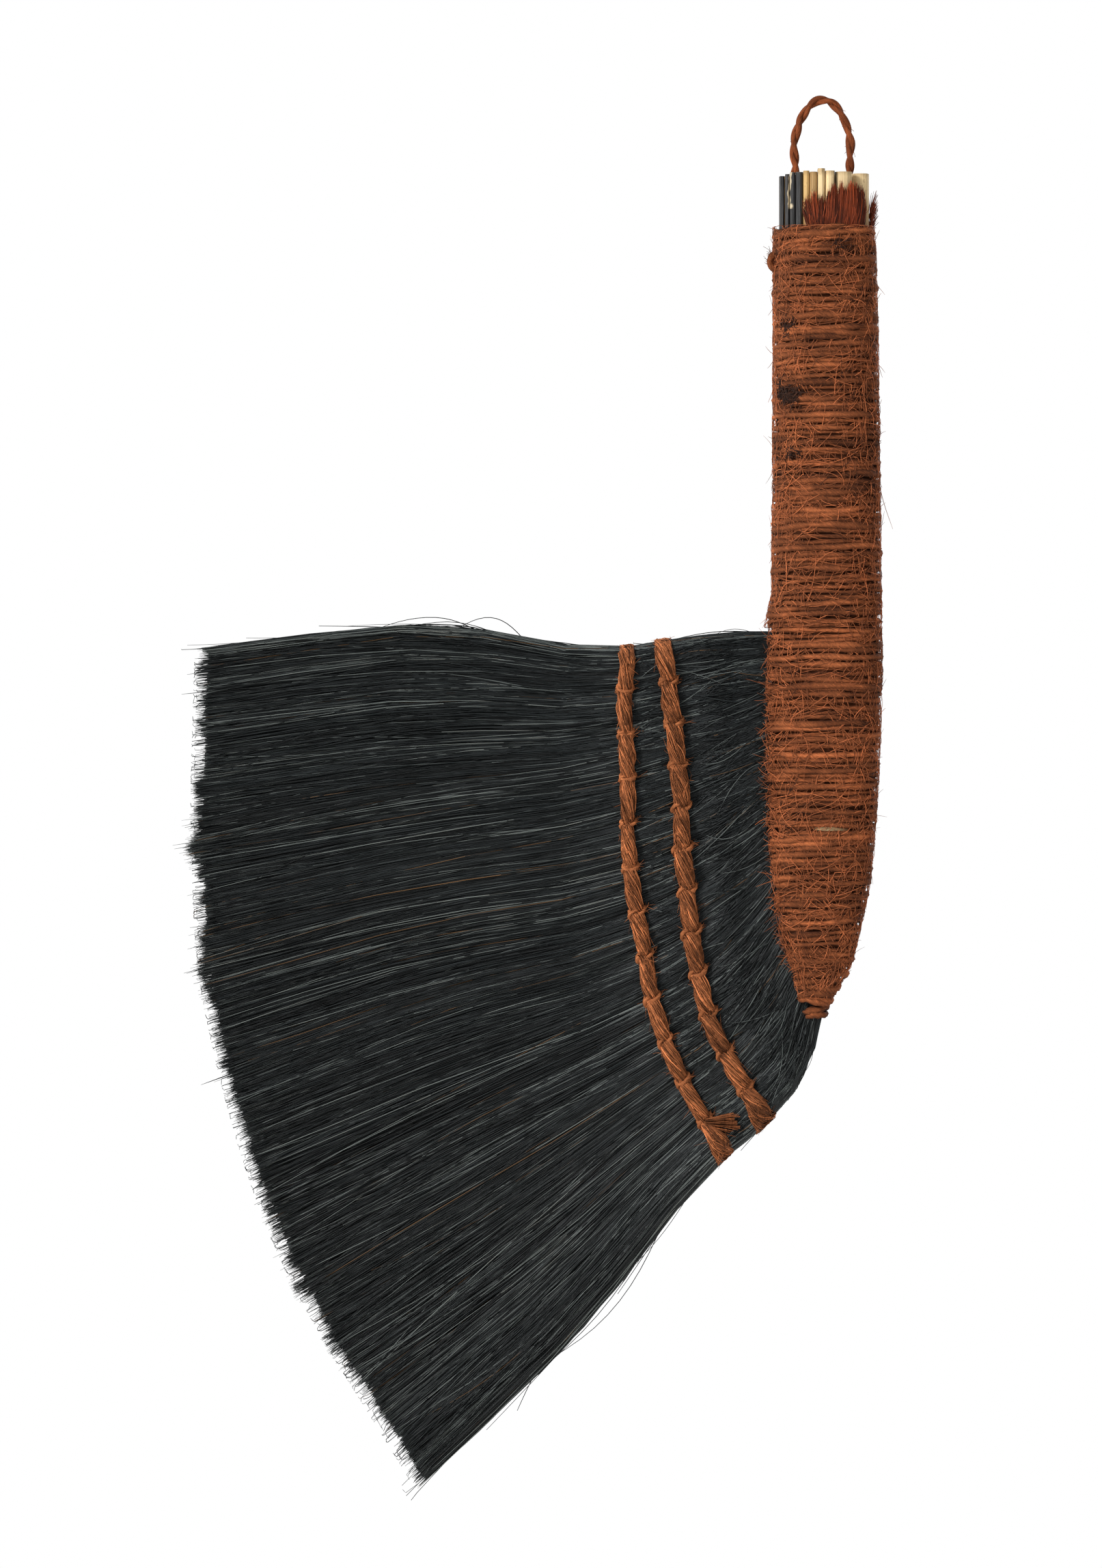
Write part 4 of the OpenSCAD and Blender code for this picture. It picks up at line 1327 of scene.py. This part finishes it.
def bristle_lines(rng, locks, u, steps, trim):
    """Places (number, steps, 3) of bristles that start at u, with their lock numbers."""
    number = len(u)
    lock = np.clip((u * locks.number).astype(int), 0, locks.number - 1)
    centre = (lock + 0.5 + locks.shift[lock]) / locks.number
    wave = rng.uniform(0, TURN, (number, 3))
    cut = trim * (rng.normal(0, 0.22, number) + 1.0 * locks.trim[lock])
    for notch, deep in ((0.034, 7), (0.3, 3), (0.615, 6), (0.8, 4), (0.9, 5)):
        cut = cut - deep * hill(u, notch, 0.0035)
    cut = cut - rng.exponential(6.0, number) * (rng.random(number) < 0.2)
    cut = cut + rng.exponential(1.0, number) * (rng.random(number) < 0.05) - 0.9
    cut = cut + 0.5 * np.sin(u * 31 + 1) + 0.4 * np.sin(u * 83)
    s_end = 5 + cut / TIP_STEP
    t = bristle_steps(steps)
    s = 0.4 + (s_end[:, None] - 0.4) * t
    free = np.clip((s - 2) / 3, 0, 1.1)
    held = np.clip((2 - s) / 1.4, 0, 1)
    gather = 0.58 * np.clip((s - 3) / 2, 0, 1) + 0.2 * held
    crossing = rng.random(number) < 0.14
    stray = rng.normal(0, 0.0055, number) + rng.normal(0, 0.022, number) * crossing
    loose = rng.normal(0, 0.012, number) + rng.normal(0, 0.045, number) * (rng.random(number) < 0.2)
    across = u[:, None] + (centre - u)[:, None] * gather
    across = across + (locks.drift[lock] + stray)[:, None] * free**1.5 + loose[:, None] * held
    across = across + 0.0016 * np.sin(wave[:, :1] + s * 2.6) + 0.0008 * np.sin(wave[:, 1:2] + s * 5.3)
    across = np.clip(across, 0.001, 0.999)
    face = np.where(rng.random(number) < 0.5, -1.0, 1.0)
    layer = 1 - 0.42 * rng.random(number) ** 1.5
    layer = np.where(crossing, 1.03, layer)
    y = face[:, None] * layer[:, None] * fan_half(across, s)
    lift = locks.lift[lock][:, None] * (0.25 + 0.75 * np.clip((s - 3) / 1.2, 0, 1))
    # flat under the stitched rows
    lift = lift * np.clip((s - 0.8) / 0.5, 0, 1) * (1 - hill(s, 2, 0.22) - hill(s, 3, 0.22))
    y = y + face[:, None] * lift + 0.16 * np.sin(wave[:, 2:] + s * 4)
    flat = fan_point(across, s)
    # under the last turns the lowest bristles fill the round end of the handle
    low = np.clip((u - 0.9) / 0.03, 0, 1)[:, None] * hill(s, 0.97, 0.2)
    spot = rng.random(number) * TURN
    wide = np.sqrt(rng.random(number))
    flat[..., 0] += low * ((-2.2 + 3.4 * wide * np.cos(spot))[:, None] - flat[..., 0])
    y = y + low * ((4.0 * wide * np.sin(spot))[:, None] - y)
    return np.stack([flat[..., 0], y, flat[..., 1]], axis=-1), lock, s


class WHISK_OT_bristles(Operator):
    """Fills the fan with bristles, bundle by bundle, over its shaded depths"""

    bl_idname = "whisk.bristles"
    bl_label = "Bristles"

    def execute(self, context):
        sizes = context.scene.whisk_broom_sizes
        finish = bristle_finish()
        locks = Locks(np.random.default_rng(40), LOCKS)
        start, end = flex_between()
        steps = 13
        t = bristle_steps(steps)
        number = sizes.bristles
        for bundle in range(1, BUNDLES + 1):
            rng = np.random.default_rng(40 + bundle)
            u = (bundle - 1 + rng.random(number)) / BUNDLES
            ways, lock, s = bristle_lines(rng, locks, u, steps, sizes.trim / MM)
            thick = sizes.bristle_radius / MM * tapered(rng, number, 0.7, 1.3, 0.4 * t**2)
            thick[:, -1] *= 0.4
            # a fifth of the bristles are paler: partly paler fibres, partly painted sheen
            pale = (rng.random(number) < 0.22) * rng.uniform(0.2, 0.75, number)
            coarse = np.sin(u * 61 + 3 * np.sin(u * 23)) + np.sin(u * 149 + 2)
            tone = 0.31 + 0.13 * locks.tone[lock] + 0.05 * coarse + rng.normal(0, 0.2, number) + pale
            tone = np.clip(tone, 0.0, 1.0)
            brown = rng.random(number) < 0.006
            tone = np.where(brown, rng.uniform(1.2, 2.0, number), tone)
            tone = tone[:, None] * (1 - 0.12 * np.clip((2.2 - s) / 0.8, 0, 1))
            mesh = hair_mesh(ways, thick, tone)
            piece = make_piece(f"bristle_bundle_{bundle:02d}", *mesh, finish, "bristle")
            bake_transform(piece)
            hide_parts(f"bundle_root_{bundle}", f"bundle_tips_{bundle}")
        self.depths(start, end)
        self.overlying(start, end, finish)
        self.inner(start, end, finish)
        return {"FINISHED"}

    @staticmethod
    def overlying(start, end, finish):
        """Bristles that lie across the others on both faces, most of them near the handle."""
        rng = np.random.default_rng(57)
        t = np.linspace(0, 1, 9)
        parts = []
        for low, high, number, run, cross, bow, stand in (
            (0.75, 1.95, 1500, (0.4, 1.0), 0.032, 0.012, 0.8),
            (2.05, 2.95, 300, (0.5, 1.0), 0.014, 0.004, 0.5),
            (3.05, 4.95, 2300, (0.4, 1.4), 0.012, 0.003, 0.5),
        ):
            length = rng.uniform(*run, number)
            middle = rng.uniform(low, high, number)
            s = np.clip(middle[:, None] + length[:, None] * (t - 0.5), low - 0.1, high + 0.08)
            s = s + 0.02 * (t - 0.5)
            turn = rng.normal(0, cross, number)[:, None]
            curve = rng.normal(0, bow, number)[:, None]
            u = rng.uniform(0.02, 0.98, number)[:, None] + turn * (t - 0.5)
            u = np.clip(u + curve * (4 * (t - 0.5) ** 2 - 0.5), 0.004, 0.996)
            face = np.where(rng.random(number) < 0.55, -1.0, 1.0)[:, None]
            rise = 0.12 + stand * rng.random((number, 1)) * np.sin(math.pi * (0.06 + 0.88 * t))
            ways = in_fan(u, s, face * (fan_half(u, s) + rise))
            thick = tapered(rng, number, 0.09, 0.16, 0.35 * t**2)
            tone = np.clip(rng.gamma(1.5, 0.26, number), 0.0, 0.9)
            tone = np.where(rng.random(number) < 0.02, rng.uniform(1.2, 1.9, number), tone)
            parts.append(hair_mesh(ways, thick, tone))
        piece = make_piece("overlying_bristles", *merged(parts), finish, "bristle")
        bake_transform(piece)

    @staticmethod
    def inner(start, end, finish):
        """Cut ends between the two faces, and the bristles that close the fan's narrow edges."""
        rng = np.random.default_rng(58)
        parts = []
        for number, steps, low, edge in ((6000, 4, 4.72, False), (1200, 12, 0.7, True)):
            t = bristle_steps(steps)
            u = rng.uniform(0.004, 0.996, number)
            if edge:
                near = 0.003 + 0.022 * rng.random(number)
                u = np.where(rng.random(number) < 0.5, near, 1 - near)
            last = 4.99 - np.abs(rng.normal(0, 0.016, number))
            s = low + (last[:, None] - low) * t
            u = u[:, None] + rng.normal(0, 0.0012, number)[:, None] * t
            ways = in_fan(u, s, rng.uniform(-0.8, 0.8, number)[:, None] * fan_half(u, s))
            thick = tapered(rng, number, 0.14, 0.24, 0.2 * t**2)
            thick[:, -1] *= 0.12
            tone = np.clip(rng.normal(0.4, 0.25, number), 0, 0.9)[:, None] * (0.8 + 0.5 * t**6)
            parts.append(hair_mesh(ways, thick, tone))
        piece = make_piece("inner_bristles", *merged(parts), finish, "bristle")
        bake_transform(piece)

    @staticmethod
    def depths(start, end):
        """A thin dark body inside the fan, so that no light shows between the bristles; its dark colour is
        painted shade.
        """
        across = np.linspace(0.012, 0.988, 110)
        runs = np.linspace(0.35, 4.7, 60)
        u, s = np.meshgrid(across, runs)
        half = fan_half(u, s) * 0.5
        around = np.concatenate([in_fan(u, s, -half), in_fan(u, s, half)[:, ::-1]], axis=1)
        rings, sides, _ = around.shape
        # turned over, because this ring runs the other way round than a strand's
        faces = ring_faces(1, rings, sides)[:, [0, 3, 2, 1]]
        grain_u = np.concatenate([u, 1 + u[:, ::-1]], axis=1) * 220
        grain_s = np.concatenate([s, s[:, ::-1]], axis=1) * 2
        grain = np.stack([grain_u, 0 * grain_u, grain_s], axis=-1).reshape(-1, 3)
        body = (around.reshape(-1, 3), faces, grain, 0.2)
        piece = make_piece("bristle_depths", *body, core_finish(), "bristle")
        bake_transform(piece)


class WHISK_OT_stray_bristles(Operator):
    """Adds the bristles that stand away from the fan's edges"""

    bl_idname = "whisk.stray_bristles"
    bl_label = "Stray bristles"

    def execute(self, context):
        sizes = context.scene.whisk_broom_sizes
        rng = np.random.default_rng(60)
        number = sizes.strays
        t = np.linspace(0, 1, 14)
        top = rng.random(number) < 0.55
        near = rng.random(number) < 0.4
        start_s = np.where(near, rng.uniform(1.0, 2.0, number), rng.uniform(2.9, 4.2, number))
        length = rng.uniform(0.35, 1.3, number)
        s = start_s[:, None] + length[:, None] * t
        s = np.minimum(s, 5.1)
        inset = rng.uniform(0.004, 0.02, number)[:, None]
        u = np.where(top[:, None], inset, 1 - inset)
        flat = fan_point(u, s)
        ahead = unit(fan_point(u, s + 0.02) - flat, 1e-9)
        away = np.where(top, 1.0, -1.0)[:, None, None] * np.stack([ahead[..., 1], -ahead[..., 0]], -1)
        rise = rng.gamma(1.5, 0.8, number)[:, None] * np.where(start_s < 2, 0.4, 1.2)[:, None] + inset * 60
        closed = rng.random(number)[:, None] < 0.45
        lift = np.where(closed, np.sin(math.pi * t), t**1.4) * rise
        flat = flat + away * lift[..., None]
        y = rng.normal(0, 1.6, number)[:, None] + rng.normal(0, 1.4, number)[:, None] * t
        ways = np.stack([flat[..., 0], y, flat[..., 1]], axis=-1)
        thick = tapered(rng, number, 0.10, 0.17, 0.4 * t**2)
        mesh = hair_mesh(ways, thick, rng.uniform(0.0, 0.4, number))
        piece = make_piece("stray_bristles", *mesh, bpy.data.materials["dark_bristle"], "bristle")
        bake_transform(piece)
        return {"FINISHED"}


class WHISK_PT_panel(Panel):
    """Lists the broom's pieces in the order that they are made"""

    bl_idname = "WHISK_PT_panel"
    bl_label = "Whisk Broom"
    bl_space_type = "VIEW_3D"
    bl_region_type = "UI"
    bl_category = "Whisk Broom"

    def draw(self, context):
        column = self.layout.column(align=True)
        for operator in OPERATORS:
            column.operator(operator.bl_idname)
        for settings in (context.scene.whisk_broom_sizes, context.scene.whisk_broom_colours):
            box = self.layout.box()
            for name in settings.__annotations__:
                box.prop(settings, name)


OPERATORS = (
    WHISK_OT_stage,
    WHISK_OT_hanging_loop,
    WHISK_OT_stalks,
    WHISK_OT_grip_winding,
    WHISK_OT_heel_winding,
    WHISK_OT_twine_ends,
    WHISK_OT_row_cords,
    WHISK_OT_bristles,
    WHISK_OT_stray_bristles,
)
CLASSES = (WhiskBroomSizes, WhiskBroomColours, *OPERATORS, WHISK_PT_panel)


def register():
    """Adds the properties, operators and panel."""
    for cls in CLASSES:
        bpy.utils.register_class(cls)
    bpy.types.Scene.whisk_broom_sizes = PointerProperty(type=WhiskBroomSizes)
    bpy.types.Scene.whisk_broom_colours = PointerProperty(type=WhiskBroomColours)


def unregister():
    """Removes them again."""
    del bpy.types.Scene.whisk_broom_colours
    del bpy.types.Scene.whisk_broom_sizes
    for cls in reversed(CLASSES):
        bpy.utils.unregister_class(cls)


def main():
    """Makes the broom."""
    register()
    bpy.ops.whisk.stage()
    bpy.ops.whisk.hanging_loop()
    bpy.ops.whisk.stalks()
    bpy.ops.whisk.grip_winding()
    bpy.ops.whisk.heel_winding()
    bpy.ops.whisk.twine_ends()
    bpy.ops.whisk.row_cords()
    bpy.ops.whisk.bristles()
    bpy.ops.whisk.stray_bristles()
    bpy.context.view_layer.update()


if __name__ == "__main__":
    main()
